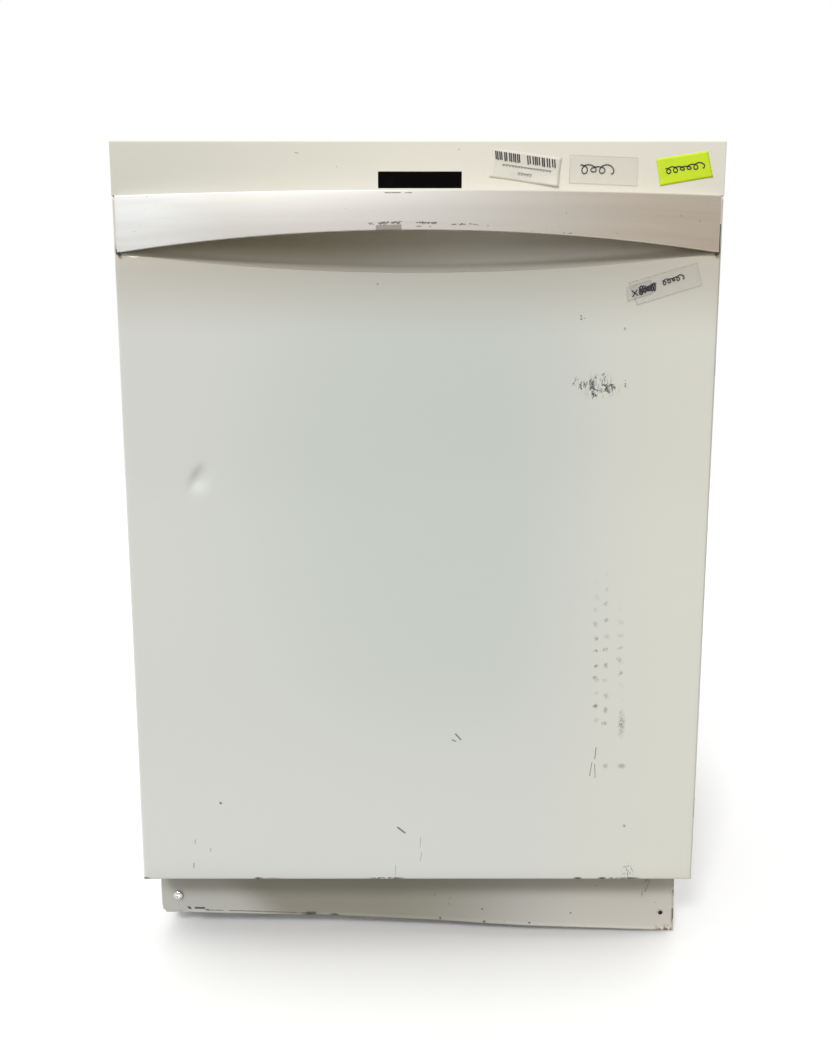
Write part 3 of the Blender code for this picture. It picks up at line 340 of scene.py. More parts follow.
    rubbed = s.patch((-0.160, DOOR_BOTTOM + 0.001), (0.018, 0.003), 0.8)
    s.tint(rubbed, (0.36, 0.33, 0.28), 0.8)
    s.tint(s.stroke((0.2990, 0.190), (0.2990, 0.168), 0.0012), (0.12, 0.09, 0.06), 0.7)
    s.tint(s.stroke((0.2992, 0.655), (0.2992, 0.640), 0.0014), (0.16, 0.12, 0.09), 0.7)
    s.roughen(s.noise(3.0, 1.0), 0.28, 0.36)
    s.bump(s.noise(260.0, 1.0), 0.00003, 0.4)
    return s.done()


def kick_enamel():
    """The toe panel's thinner paint, dirty along its lower edge and rusty at its right end, with painted
    shade over its left middle and along its top, and painted light at its right and along its left hem.
    """
    s = Shader("kick_enamel", (0.600, 0.605, 0.580), 0.34, Coat_Weight=0.10, Coat_Roughness=0.2)
    s.tint(s.fade(s.noise(7.0, 2.0), 0.4, 0.8), (0.600, 0.590, 0.545), 0.5)
    # painted shade: a dark diagonal wedge over the left middle of the panel
    slant = s.maths("ADD", s.axis("X"), s.both(s.axis("Z"), 0.85))
    painted_shade_wedge = s.both(s.fade(slant, -0.185, -0.125), s.fade(s.axis("X"), 0.200, -0.040))
    # painted light: the paint is made lighter towards the right end
    s.tint(s.fade(s.axis("X"), 0.05, 0.24), (0.710, 0.685, 0.630), 0.85)
    s.tint(painted_shade_wedge, (0.300, 0.285, 0.230), 0.85)
    # painted shadow: darker along the top, under the door's lower edge
    s.tint(s.fade(s.axis("Z"), 0.045, 0.062), (0.340, 0.320, 0.260), 0.50)
    specks = s.both(s.fade(s.noise(230.0, 3.0), 0.70, 0.76),
                     s.fade(s.noise(12.0, 2.0), 0.5, 0.62))
    s.tint(specks, (0.10, 0.08, 0.06), 0.8)
    rust_zone = [s.fade(s.axis("X"), 0.2935, 0.2972), s.patch((0.289, 0.006), (0.020, 0.007))]
    rust = s.both(s.most(rust_zone), s.fade(s.noise(150.0, 4.0, (1, 1, 0.6)), 0.46, 0.58))
    s.tint(rust, (0.13, 0.075, 0.032), 0.9)
    smear = s.both(s.stroke((0.2670, 0.064), (0.2625, 0.046), 0.008),
                    s.fade(s.noise(260.0, 3.0, (1, 1, 0.4)), 0.40, 0.56))
    s.tint(smear, (0.25, 0.22, 0.19), 0.7)
    fold = s.most([s.stroke((-0.2450, 0.0262), (-0.1850, 0.0240), 0.0016),
                   s.stroke((-0.1850, 0.0240), (-0.1200, 0.0212), 0.0014)])
    s.tint(s.both(fold, s.fade(s.noise(90.0, 3.0), 0.26, 0.46)), (0.14, 0.10, 0.065), 0.85)
    # painted highlight: a light line along the folded hem at the left
    s.tint(s.stroke((-0.2600, 0.0242), (-0.1300, 0.0190), 0.0022), (0.80, 0.80, 0.78), 0.6)
    chips = [s.stroke((-0.2670, 0.0300), (-0.2650, 0.0285), 0.0036),
             s.stroke((-0.2590, 0.0290), (-0.2490, 0.0287), 0.0036),
             s.stroke((-0.2470, 0.0268), (-0.2440, 0.0262), 0.0020)]
    rim = [s.patch((-0.125, 0.0206), (0.014, 0.0040)), s.patch((-0.0975, 0.0190), (0.008, 0.0030)),
           s.patch((0.0265, 0.0165), (0.0020, 0.0020)), s.patch((0.0753, 0.0290), (0.0020, 0.0016)),
           s.patch((0.0777, 0.0140), (0.0026, 0.0022)), s.patch((0.1300, 0.0135), (0.0022, 0.0018)),
           s.patch((0.1780, 0.0250), (0.0020, 0.0018))]
    torn = s.fade(s.noise(200.0, 3.0), 0.38, 0.50)
    s.tint(s.most([s.most(chips), s.both(s.most(rim), torn)]), (0.035, 0.028, 0.02), 0.9)
    s.roughen(s.fade(s.noise(18.0, 4.0), 0.3, 0.75), 0.28, 0.52)
    s.bump(s.noise(220.0, 1.0), 0.00004, 0.5)
    return s.done()


def console_plastic():
    s = Shader("console_plastic", (0.865, 0.842, 0.755), 0.50, Specular_IOR_Level=0.35)
    s.tint(s.fade(s.noise(5.0, 1.0), 0.3, 0.8), (0.830, 0.805, 0.710), 0.5)
    # painted shade: the console is made darker towards the left end
    s.tint(s.fade(s.axis("X"), 0.10, -0.3), (0.700, 0.700, 0.630), 0.9)
    specks = [s.stroke((-0.1190, 0.8530), (-0.1165, 0.8526), 0.0014),
              s.stroke((-0.0790, 0.8400), (-0.0788, 0.8399), 0.0012),
              s.stroke((0.0400, 0.8560), (0.0402, 0.8559), 0.0016)]
    s.tint(s.most(specks), (0.16, 0.15, 0.13), 0.6)
    s.roughen(s.noise(12.0, 2.0), 0.44, 0.58)
    s.bump(s.noise(700.0, 1.0), 0.00003, 0.5)
    return s.done()


def band_satin():
    """Satin pearl paint on the handle, rubbed through to grey where hands pull it, with a painted reflection:
    bright at the left end, darker and warmer towards the right.
    """
    s = Shader("band_satin", (0.755, 0.765, 0.765), 0.46, 0.55)
    # painted reflection: only the left end keeps the bright colour, and the band turns darker and warmer
    # towards the right
    s.tint(s.fade(s.axis("X"), -0.29, -0.17), (0.625, 0.612, 0.585), 1.0)
    s.tint(s.fade(s.axis("X"), 0.00, 0.28), (0.535, 0.440, 0.345), 0.8)
    s.tint(s.fade(s.noise(60.0, 3.0, (0.04, 1, 3)), 0.35, 0.65), (0.600, 0.575, 0.535), 0.30)
    height = s.maths("ADD", s.axis("Z"), s.both(s.noise(420.0, 3.0), 0.0050))
    bare = s.both(s.fade(height, 0.7831, 0.7823),
                   s.both(s.fade(s.axis("X"), -0.0405, -0.0396),
                           s.fade(s.axis("X"), -0.0150, -0.0160)))
    s.tint(bare, (0.300, 0.285, 0.250), 0.9)
    torn = s.fade(s.noise(260.0, 4.0, (0.5, 1, 1.0)), 0.40, 0.50)
    lines = [((-0.0460, 0.7812), (-0.0150, 0.7822), 0.0026), ((-0.0150, 0.7822), (0.0180, 0.7815), 0.0020),
             ((-0.0010, 0.7788), (0.0120, 0.7784), 0.0018), ((0.0320, 0.7804), (0.0450, 0.7806), 0.0018),
             ((0.0500, 0.7803), (0.0600, 0.7800), 0.0015), ((0.0665, 0.7796), (0.0672, 0.7786), 0.0018),
             ((0.1390, 0.7738), (0.1480, 0.7733), 0.0010)]
    ragged = s.shaken(420.0, (0.004, 0, 0.0045))
    rubbed = s.both(s.most([s.stroke(*line, ragged) for line in lines]), torn)
    scratch = s.both(s.stroke((-0.0310, 0.8092), (-0.0060, 0.8092), 0.0014), torn)
    s.tint(s.most([rubbed, scratch]), (0.11, 0.095, 0.075), 0.85)
    specks = s.both(s.fade(s.noise(330.0, 1.0), 0.74, 0.78),
                     s.fade(s.noise(20.0, 1.0), 0.5, 0.6))
    s.tint(specks, (0.25, 0.23, 0.20), 0.6)
    s.roughen(s.noise(40.0, 2.0, (0.05, 1, 4)), 0.40, 0.54)
    s.bump(s.noise(1100.0, 1.0), 0.00002, 0.4)
    return s.done()


def window_gloss():
    s = Shader("window_gloss", (0.0035, 0.003, 0.0025), 0.14, Specular_IOR_Level=0.02)
    s.tint(s.fade(s.noise(80.0, 3.0), 0.5, 0.8), (0.006, 0.0055, 0.005), 0.6)
    s.roughen(s.fade(s.noise(60.0, 4.0), 0.4, 0.7), 0.10, 0.22)
    return s.done()


def brushed_steel(name, stretch, roughness=0.30):
    s = Shader(name, (0.60, 0.61, 0.62), roughness, 1.0)
    grain = s.noise(26.0, 6.0, stretch)
    s.tint(s.fade(grain, 0.3, 0.7), (0.52, 0.53, 0.545), 0.7)
    s.tint(s.fade(s.noise(6.0, 4.0), 0.55, 0.75), (0.56, 0.555, 0.53), 0.4)
    s.roughen(grain, roughness - 0.08, roughness + 0.14)
    s.bump(grain, 0.00003, 0.5)
    return s.done()


def galvanised():
    """Zinc spangle: flat crystals of slightly different greys."""
    s = Shader("galvanised", (0.50, 0.51, 0.52), 0.42, 0.85)
    crystals = s.cells(85.0)
    tone = s.node("ShaderNodeSeparateXYZ")
    s.feed(tone.inputs[0], crystals.outputs["Color"])
    s.tint(s.fade(tone.outputs[0], 0.1, 0.9), (0.64, 0.65, 0.665), 0.8)
    s.tint(s.fade(s.noise(24.0, 5.0), 0.58, 0.78), (0.40, 0.38, 0.34), 0.5)
    s.roughen(tone.outputs[1], 0.30, 0.55)
    return s.done()


def bright_steel():
    s = Shader("bright_steel", (0.66, 0.66, 0.655), 0.20, 1.0)
    s.tint(s.fade(s.noise(70.0, 4.0), 0.45, 0.7), (0.56, 0.555, 0.54), 0.5)
    s.roughen(s.fade(s.noise(90.0, 3.0), 0.3, 0.7), 0.14, 0.30)
    return s.done()


def moulded(name, colour, roughness=0.42):
    """Moulded plastic: faint colour drift and a fine spark-eroded texture."""
    s = Shader(name, colour, roughness)
    darker = tuple(channel * 0.82 for channel in colour)
    s.tint(s.fade(s.noise(22.0, 4.0), 0.4, 0.75), darker, 0.5)
    s.roughen(s.fade(s.noise(45.0, 3.0), 0.3, 0.7), roughness - 0.06, roughness + 0.10)
    s.bump(s.noise(1500.0, 1.0), 0.00004, 0.6)
    return s.done()


def nylon_wire():
    s = Shader("nylon_wire", (0.42, 0.46, 0.50), 0.36, Coat_Weight=0.15)
    s.tint(s.fade(s.noise(35.0, 3.0), 0.4, 0.7), (0.36, 0.395, 0.43), 0.6)
    s.tint(s.fade(s.noise(160.0, 3.0), 0.74, 0.80), (0.20, 0.12, 0.07), 0.5)
    s.bump(s.noise(500.0, 2.0), 0.00008, 0.5)
    return s.done()


def soft_rubber():
    s = Shader("soft_rubber", (0.045, 0.045, 0.048), 0.62)
    s.tint(s.fade(s.noise(60.0, 4.0), 0.5, 0.75), (0.075, 0.074, 0.072), 0.7)
    s.bump(s.noise(700.0, 2.0), 0.00008, 0.6)
    return s.done()


def pressed_felt():
    """Pressed recycled fibre: dark mixed fibres, flecks and a hairy surface."""
    s = Shader("pressed_felt", (0.070, 0.070, 0.076), 0.95, Sheen_Weight=0.35)
    s.tint(s.fade(s.noise(160.0, 6.0), 0.35, 0.7), (0.135, 0.135, 0.145), 0.9)
    s.tint(s.fade(s.noise(420.0, 2.0), 0.64, 0.70), (0.42, 0.41, 0.40), 0.8)
    s.tint(s.fade(s.noise(330.0, 2.0, (1, 2, 1)), 0.67, 0.72), (0.16, 0.24, 0.36), 0.8)
    s.bump(s.noise(380.0, 5.0), 0.0012, 0.9)
    s.bump(s.noise(24.0, 3.0), 0.004, 0.6)
    return s.done()


def paper(name, colour, alpha=1.0, roughness=0.6):
    s = Shader(name, colour, roughness, Alpha=alpha)
    creased = tuple(channel * 0.90 for channel in colour)
    s.tint(s.fade(s.noise(110.0, 5.0), 0.45, 0.7), creased, 0.5)
    s.bump(s.noise(130.0, 4.0), 0.0003, 0.5)
    return s.done()


def ink():
    s = Shader("pen_ink", (0.015, 0.013, 0.022), 0.5)
    s.tint(s.fade(s.noise(900.0, 2.0), 0.55, 0.75), (0.06, 0.055, 0.07), 0.6)
    return s.done()


ENAMEL = door_enamel()
KICK_PAINT = kick_enamel()
CONSOLE = console_plastic()
BAND = band_satin()
WINDOW = window_gloss()
TUB_STEEL = brushed_steel("tub_steel", (1.0, 1.0, 14.0))
LINER_STEEL = brushed_steel("liner_steel", (14.0, 1.0, 1.0))
ZINC = galvanised()
BRIGHT = bright_steel()
GREY = moulded("grey_moulding", (0.40, 0.42, 0.445))
PALE = moulded("pale_moulding", (0.56, 0.57, 0.58), 0.38)
DARK = moulded("dark_moulding", (0.035, 0.035, 0.038), 0.46)
BLUE = moulded("blue_moulding", (0.045, 0.12, 0.25), 0.42)
NYLON = nylon_wire()
RUBBER = soft_rubber()
FELT = pressed_felt()
INK = ink()


# ---------------------------------------------------------------- mesh helpers
def even(low, high, count):
    return [low + (high - low) * i / (count - 1) for i in range(count)]


def spread(knots, counts):
    """Values that run through the knots, with each count of steps between two of them."""
    values = [knots[0]]
    for low, high, count in zip(knots, knots[1:], counts):
        values += [low + (high - low) * (i + 1) / count for i in range(count)]
    return values


def piece(name, bm, finish, body, stands_for=(), smooth=40.0):
    """Makes a riding piece from a bmesh in frame coordinates."""
    bmesh.ops.recalc_face_normals(bm, faces=bm.faces)
    mesh = bpy.data.meshes.new(name)
    bm.to_mesh(mesh)
    bm.free()
    mesh.materials.append(finish)
    made = bpy.data.objects.new(name, mesh)
    bpy.context.collection.objects.link(made)
    if smooth:
        mesh.shade_smooth()
        mesh.set_sharp_from_angle(angle=math.radians(smooth))
    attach(made, body)
    if stands_for:
        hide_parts(*stands_for)
    return made


def add_modifier(made, kind, **settings):
    modifier = made.modifiers.new(kind.lower(), kind)
    for key, value in settings.items():
        setattr(modifier, key, value)
    return modifier


def soften(made, width, segments=3, angle=35.0):
    add_modifier(made, "BEVEL", width=width, segments=segments, limit_method="ANGLE",
                 angle_limit=math.radians(angle), harden_normals=False)


def thicken(made, thickness, offset=-1.0):
    add_modifier(made, "SOLIDIFY", thickness=thickness, offset=offset, use_even_offset=True)


def settle(made):
    """Applies the modifiers, so that later steps work on the final mesh."""
    depsgraph = bpy.context.evaluated_depsgraph_get()
    mesh = bpy.data.meshes.new_from_object(made.evaluated_get(depsgraph))
    made.modifiers.clear()
    made.data = mesh


def dress(node, finish, width=0.0, segments=2):
    """Keeps a CAD node, with a finer finish and softened edges."""
    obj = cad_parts[node]
    if not obj.material_slots:
        obj.data.materials.append(finish)
    for material_slot in obj.material_slots:
        material_slot.material = finish
    if width:
        add_modifier(obj, "WELD", merge_threshold=0.00002)
        soften(obj, width, segments, 30.0)


def skin(rows, closed=False, bm=None):
    """Faces between rows of points. closed joins the last point of a row to its first."""
    bm = bm or bmesh.new()
    made = [[bm.verts.new(point) for point in row] for row in rows]
    for low, high in zip(made, made[1:]):
        count = len(low) if closed else len(low) - 1
        for i in range(count):
            j = (i + 1) % len(low)
            bm.faces.new((low[i], low[j], high[j], high[i]))
    return bm, made


def lathe(profile, centre, axis=2, count=64, bm=None):
    """Turns a closed profile of (radius, place along the axis)."""
    bm = bm or bmesh.new()
    rings = []
    for radius, along in profile:
        ring = []
        for i in range(count if radius > 1e-6 else 1):
            turn = 2 * math.pi * i / count
            place = list(centre)
            place[axis] += along
            place[(axis + 1) % 3] += radius * math.cos(turn)
            place[(axis + 2) % 3] += radius * math.sin(turn)
            ring.append(bm.verts.new(place))
        rings.append(ring)
    for k, ring in enumerate(rings):
        after = rings[(k + 1) % len(rings)]
        if len(ring) == 1 and len(after) == 1:
            continue
        for i in range(count):
            j = (i + 1) % count
            if len(ring) == 1:
                bm.faces.new((ring[0], after[j], after[i]))
            elif len(after) == 1:
                bm.faces.new((ring[i], ring[j], after[0]))
            else:
                bm.faces.new((ring[i], ring[j], after[j], after[i]))
    return bm


def tube(bm, route, radius, sides=8, closed=False):
    """A round wire along a route. radius is a number, or one number for each point."""
    points = [Vector(p) for p in route]
    count = len(points)
    radii = radius if hasattr(radius, "__len__") else [radius] * count
    rings = []
    up = None
    for i, point in enumerate(points):
        before = points[i - 1] if closed or i else point
        after = points[(i + 1) % count] if closed or i < count - 1 else point
        along = (after - before).normalized()
        if up is None:
            up = along.orthogonal().normalized()
        up = (up - along * up.dot(along)).normalized()
        side = along.cross(up)
        ring = []
        for k in range(sides):
            turn = 2 * math.pi * k / sides
            offset = up * math.cos(turn) + side * math.sin(turn)
            ring.append(bm.verts.new(point + offset * radii[i]))
        rings.append(ring)
    pairs = list(zip(rings, rings[1:]))
    if closed:
        pairs.append((rings[-1], rings[0]))
    for low, high in pairs:
        for k in range(sides):
            j = (k + 1) % sides
            bm.faces.new((low[k], low[j], high[j], high[k]))
    if not closed:
        bm.faces.new(rings[0][::-1])
        bm.faces.new(rings[-1])
    return bm


def rounded(corners, radius, steps=5, closed=True):
    """A polyline in 3-D with each corner turned into an arc-like curve."""
    points = [Vector(c) for c in corners]
    count = len(points)
    result = []
    for i, corner in enumerate(points):
        if not closed and i in (0, count - 1):
            result.append(corner)
            continue
        before, after = points[i - 1], points[(i + 1) % count]
        reach = min(radius, (before - corner).length * 0.49, (after - corner).length * 0.49)
        start = corner + (before - corner).normalized() * reach
        end = corner + (after - corner).normalized() * reach
        for k in range(steps + 1):
            t = k / steps
            result.append(start * (1 - t) ** 2 + corner * 2 * t * (1 - t) + end * t**2)
    return result


def box_into(bm, low, high):
    corners = [bm.verts.new((x, y, z)) for x in (low[0], high[0])
               for y in (low[1], high[1]) for z in (low[2], high[2])]
    for ring in ((0, 1, 3, 2), (4, 6, 7, 5), (0, 4, 5, 1), (2, 3, 7, 6), (0, 2, 6, 4), (1, 5, 7, 3)):
        bm.faces.new([corners[i] for i in ring])
    return bm


def carve(made, low, high):
    """Cuts a box out of a piece, and leaves the cut in its mesh."""
    mesh = bpy.data.meshes.new("cutter")
    bm = box_into(bmesh.new(), low, high)
    bmesh.ops.recalc_face_normals(bm, faces=bm.faces)
    bm.to_mesh(mesh)
    bm.free()
    cutter = bpy.data.objects.new("cutter", mesh)
    bpy.context.collection.objects.link(cutter)
    add_modifier(made, "BOOLEAN", operation="DIFFERENCE", solver="EXACT", object=cutter)
    settle(made)
    bpy.data.objects.remove(cutter, do_unlink=True)


# ---------------------------------------------------------------- door front
def bow(x):
    return max(0.0, 1.0 - (x / BAND_HALF) ** 2)


def pocket_rim(x):
    return POCKET_END_LOW + (POCKET_LOW - POCKET_END_LOW) * bow(x)


def press(x, z):
    """How far the panel's front lies behind FACE_Y: pocket, dent and slow waves of the sheet."""
    depth = 0.0
    rise = (z - pocket_rim(x)) / 0.034
    if rise > 0 and z < PANEL_TOP - 0.003:
        depth += POCKET_DEPTH * bow(x) * min(1.0, rise) ** 0.45
    along, up = x - DENT[0], z - DENT[1]
    side, rise = along * 0.87 - up * 0.5, along * 0.5 + up * 0.87
    dent = math.hypot(side / (0.0055 if side < 0 else 0.0115), rise / 0.0125)
    if dent < 2.5:
        depth += 0.0036 * math.exp(-dent * dent)
    slow = math.sin(5.1 * x + 0.4) * math.sin(4.3 * z + 1.0)
    return depth + 0.0005 * slow * min(1.0, (HALF - abs(x)) / 0.05)


def make_outer_panel():
    """The drawn front: pocket, rolled vertical edges and returned sides and foot."""
    radius = 0.0030
    roll = [math.pi / 2 * i / 5 for i in range(6)]
    columns = [(-HALF, PANEL_BACK), (-HALF, (PANEL_BACK + FACE_Y) / 2)]
    columns += [(-HALF + radius * (1 - math.cos(a)), FACE_Y + radius * (1 - math.sin(a))) for a in roll]
    inner = spread([-HALF + radius, DENT[0] - 0.022, DENT[0] + 0.022, HALF - radius], [13, 24, 122])[1:-1]
    front = columns + [(x, FACE_Y) for x in inner] + [(-x, y) for x, y in columns[::-1]]
    rows = []
    for share in (0.0, 1.0):
        rows.append([(x, max(y, FACE_Y + radius + (1 - share) * 0.005), DOOR_BOTTOM)
                     for x, y in front])
    for a in roll[1:]:
        z = DOOR_BOTTOM + radius * (1 - math.cos(a))
        back = radius * (1 - math.sin(a))
        rows.append([(x, max(y, FACE_Y + back), z) for x, y in front])
    body_rows = spread([0.0, 0.63, 0.71, 0.90, 0.985, 1.0], [28, 24, 9, 14, 4])
    pocket_rows = spread([0.0, 0.015, 0.12, 1.0], [4, 7, 16])
    levels = []
    for x, _ in front:
        rim = pocket_rim(max(-BAND_HALF, min(BAND_HALF, x)))
        low = DOOR_BOTTOM + radius
        column = [low + (rim - low) * share for share in body_rows[1:]]
        column += [rim + (PANEL_TOP - 0.0032 - rim) * share for share in pocket_rows[1:]]
        levels.append(column + [PANEL_TOP - 0.0022, PANEL_TOP])
    for k in range(len(levels[0])):
        row = []
        for (x, y), column in zip(front, levels):
            flat = y <= FACE_Y + 1e-6
            row.append((x, y + (press(x, column[k]) if flat else 0.0), column[k]))
        rows.append(row)
    bm, _ = skin(rows)
    bmesh.ops.remove_doubles(bm, verts=bm.verts, dist=0.00001)
    bmesh.ops.dissolve_degenerate(bm, edges=bm.edges, dist=0.00001)
    made = piece("outer_panel_skin", bm, ENAMEL, "door", ["outer_panel"], 50)
    orient(made, Vector((0, -1, 0)))
    thicken(made, 0.0009)


def orient(made, out):
    """Turns an open skin's faces so that its largest faces look along out."""
    mesh = made.data
    total = sum(p.area * p.normal.dot(out) for p in mesh.polygons)
    if total < 0:
        mesh.flip_normals()


def make_handle_band():
    """A bowed channel with softly rounded long edges."""
    wall, back = 0.0026, FACE_Y - 0.0004
    rows = []
    for x in even(-BAND_HALF, BAND_HALF, 97):
        front = FACE_Y - BAND_END_TIP - (BAND_TIP - BAND_END_TIP) * bow(x)
        low = BAND_END_LOW + (BAND_LOW - BAND_END_LOW) * bow(x)
        outer = rounded([(x, back, SEAM_Z), (x, front, SEAM_Z), (x, front, low),
                         (x, front + wall, low)], 0.0016, 4, closed=False)
        inner = rounded([(x, front + wall, low), (x, front + wall, SEAM_Z - wall),
                         (x, back, SEAM_Z - wall)], 0.0004, 2, closed=False)
        rows.append(outer + inner[1:])
    bm, made = skin(rows, closed=True)
    bm.faces.new(made[0])
    bm.faces.new(made[-1][::-1])
    piece("handle_band_skin", bm, BAND, "door", ["handle_band"], 50)


def make_band_ends():
    """Dark foam at the band's ends: a nub under each lower corner, and a dark strip up the right end that
    stands in for the shadow in the gap beside the band.
    """
    for side, name, height in ((-1, "left", 0.0035), (1, "right", 0.0270)):
        near, far = sorted((side * (BAND_HALF - 0.0022), side * BAND_HALF))
        bm = box_into(bmesh.new(), (near, FACE_Y - 0.0042, BAND_END_LOW - 0.0022),
                      (far, FACE_Y - 0.0002, BAND_END_LOW - 0.0004))
        # painted shadow: a thin dark strip beside each end of the band, tall only at the right end
        near, far = sorted((side * (BAND_HALF + 0.0002), side * (BAND_HALF + 0.0010)))
        box_into(bm, (near, FACE_Y - 0.0040, BAND_END_LOW - 0.0018),
                 (far, FACE_Y - 0.0002, BAND_END_LOW + height))
        made = piece("band_end_" + name, bm, RUBBER, "door", smooth=0)
        soften(made, 0.0003, 2)


def make_console():
    """A moulded cap: front, rounded top edge, top and ends, open towards the liner."""
    rear = edge("console", 1, 1)
    profile = rounded([(0, FACE_Y, SEAM_Z + 0.0005), (0, FACE_Y, TOP), (0, rear, TOP)],
                      0.0028, 5, closed=False)
    rows = []
    for x in spread([-HALF, -HALF + 0.004, HALF - 0.004, HALF], [2, 40, 2]):
        rows.append([(x, p.y, p.z) for p in profile])
    bm, made = skin(rows)
    for ring in (made[0], made[-1]):
        corner = bm.verts.new((ring[0].co.x, rear, SEAM_Z + 0.0005))
        bm.faces.new([*ring, corner])
    made = piece("console_cap", bm, CONSOLE, "door", ["console"], 50)
    orient(made, Vector((0, -1, 0)))
    soften(made, 0.0012, 3, 60)
    thicken(made, 0.0025)
    settle(made)
    low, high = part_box("display_window")
    gap = Vector((0.0004, 0, 0.0004))
    carve(made, Vector(low) - gap - Vector((0, 0.01, 0)), Vector(high) + gap + Vector((0, 0.01, 0)))
    for number in range(1, 6):
        low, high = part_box(f"button_{number}")
        gap = Vector((0.0004, 0.0004, 0))
        carve(made, Vector(low) - gap, Vector(high) + gap + Vector((0, 0, 0.01)))
    add_modifier(made, "WEIGHTED_NORMAL", keep_sharp=True, weight=100)


def make_window():
    """A smoked pane, set just behind the console's face, with softened edges."""
    low, high = corners_of("display_window")
    bm = box_into(bmesh.new(), low + Vector((0, 0.0004, 0)), high)
    made = piece("display_pane", bm, WINDOW, "door", ["display_window"], 0)
    soften(made, 0.0004, 2)
    settle(made)


def make_buttons():
    """Hidden touch keys on the top edge, each with a shallow dished face."""
    for number in range(1, 6):
        low, high = corners_of(f"button_{number}")
        middle = (low + high) / 2
        rows = []
        for share, drop in ((0.0, 0.0), (0.0, 1.0), (0.25, 1.0), (0.5, 0.96), (0.9, 0.95)):
            ring = [(low.x, low.y), (high.x, low.y), (high.x, high.y), (low.x, high.y)]
            z = low.z + (high.z - low.z) * drop
            ring = rounded([(x, y, z) for x, y in ring], 0.002, 4)
            centre = Vector((middle.x, middle.y, z))
            rows.append([p + (centre - p) * share for p in ring])
        bm, made = skin(rows, closed=True)
        bm.faces.new(made[0][::-1])
        bm.faces.new(made[-1])
        piece(f"key_{number}", bm, DARK, f"button_{number}_body", [f"button_{number}"])


# ---------------------------------------------------------------- stickers
def on_front(x, z, lift):
    """The point at x and z that stands off the door front by lift."""
    depth = press(x, z) if z < PANEL_TOP else 0.0
    return Vector((x, FACE_Y + depth - lift, z))


def sticker(name, corners, finish, lift, curled=0.0003, raised=0.0):
    """A thin slip on the door front, curled at its corners; raised lifts its lower right one."""
    a, b, c, d = [Vector(corner) for corner in corners]
    rows = []
    for v in even(0, 1, 13):
        row = []
        for u in even(0, 1, 21):
            x, z = (a * (1 - u) + b * u) * (1 - v) + (d * (1 - u) + c * u) * v
            curl = curled * (abs(2 * u - 1) * abs(2 * v - 1)) ** 6
            corner = raised * max(0.0, u - v - 0.35) ** 2
            row.append(on_front(x, z, lift + curl + corner))
        rows.append(row)
    bm, _ = skin(rows)
    made = piece(name, bm, finish, "door", smooth=60)
    orient(made, Vector((0, -1, 0)))
    thicken(made, 0.00012)


def pen(name, strokes, width, lift, finish=None):
    """Flat ribbons of ink that follow lists of XZ points."""
    bm = bmesh.new()
    for points in strokes:
        route = [on_front(x, z, lift) for x, z in points]
        left, right = [], []
        for i, point in enumerate(route):
            along = (route[min(i + 1, len(route) - 1)] - route[max(i - 1, 0)]).normalized()
            side = Vector((-along.z, 0, along.x)) * width / 2
            left.append(point + side)
            right.append(point - side)
        skin([left, right], bm=bm)
    made = piece(name, bm, finish or INK, "door", smooth=0)
    orient(made, Vector((0, -1, 0)))
    thicken(made, 0.00008)


def scribble(centre, width, height, loops, lean=0.0, steps=90):
    """A running loopy line that spells nothing."""
    points = []
    for i in range(steps + 1):
        t = i / steps
        turn = 2 * math.pi * loops * t
        x = centre[0] + width * (t - 0.5) + 0.18 * width / loops * 3 * math.sin(turn)
        z = centre[1] + 0.5 * height * math.cos(turn) * (0.75 + 0.25 * math.sin(9 * t)) + lean * (t - 0.5)
        points.append((x, z))
    return points


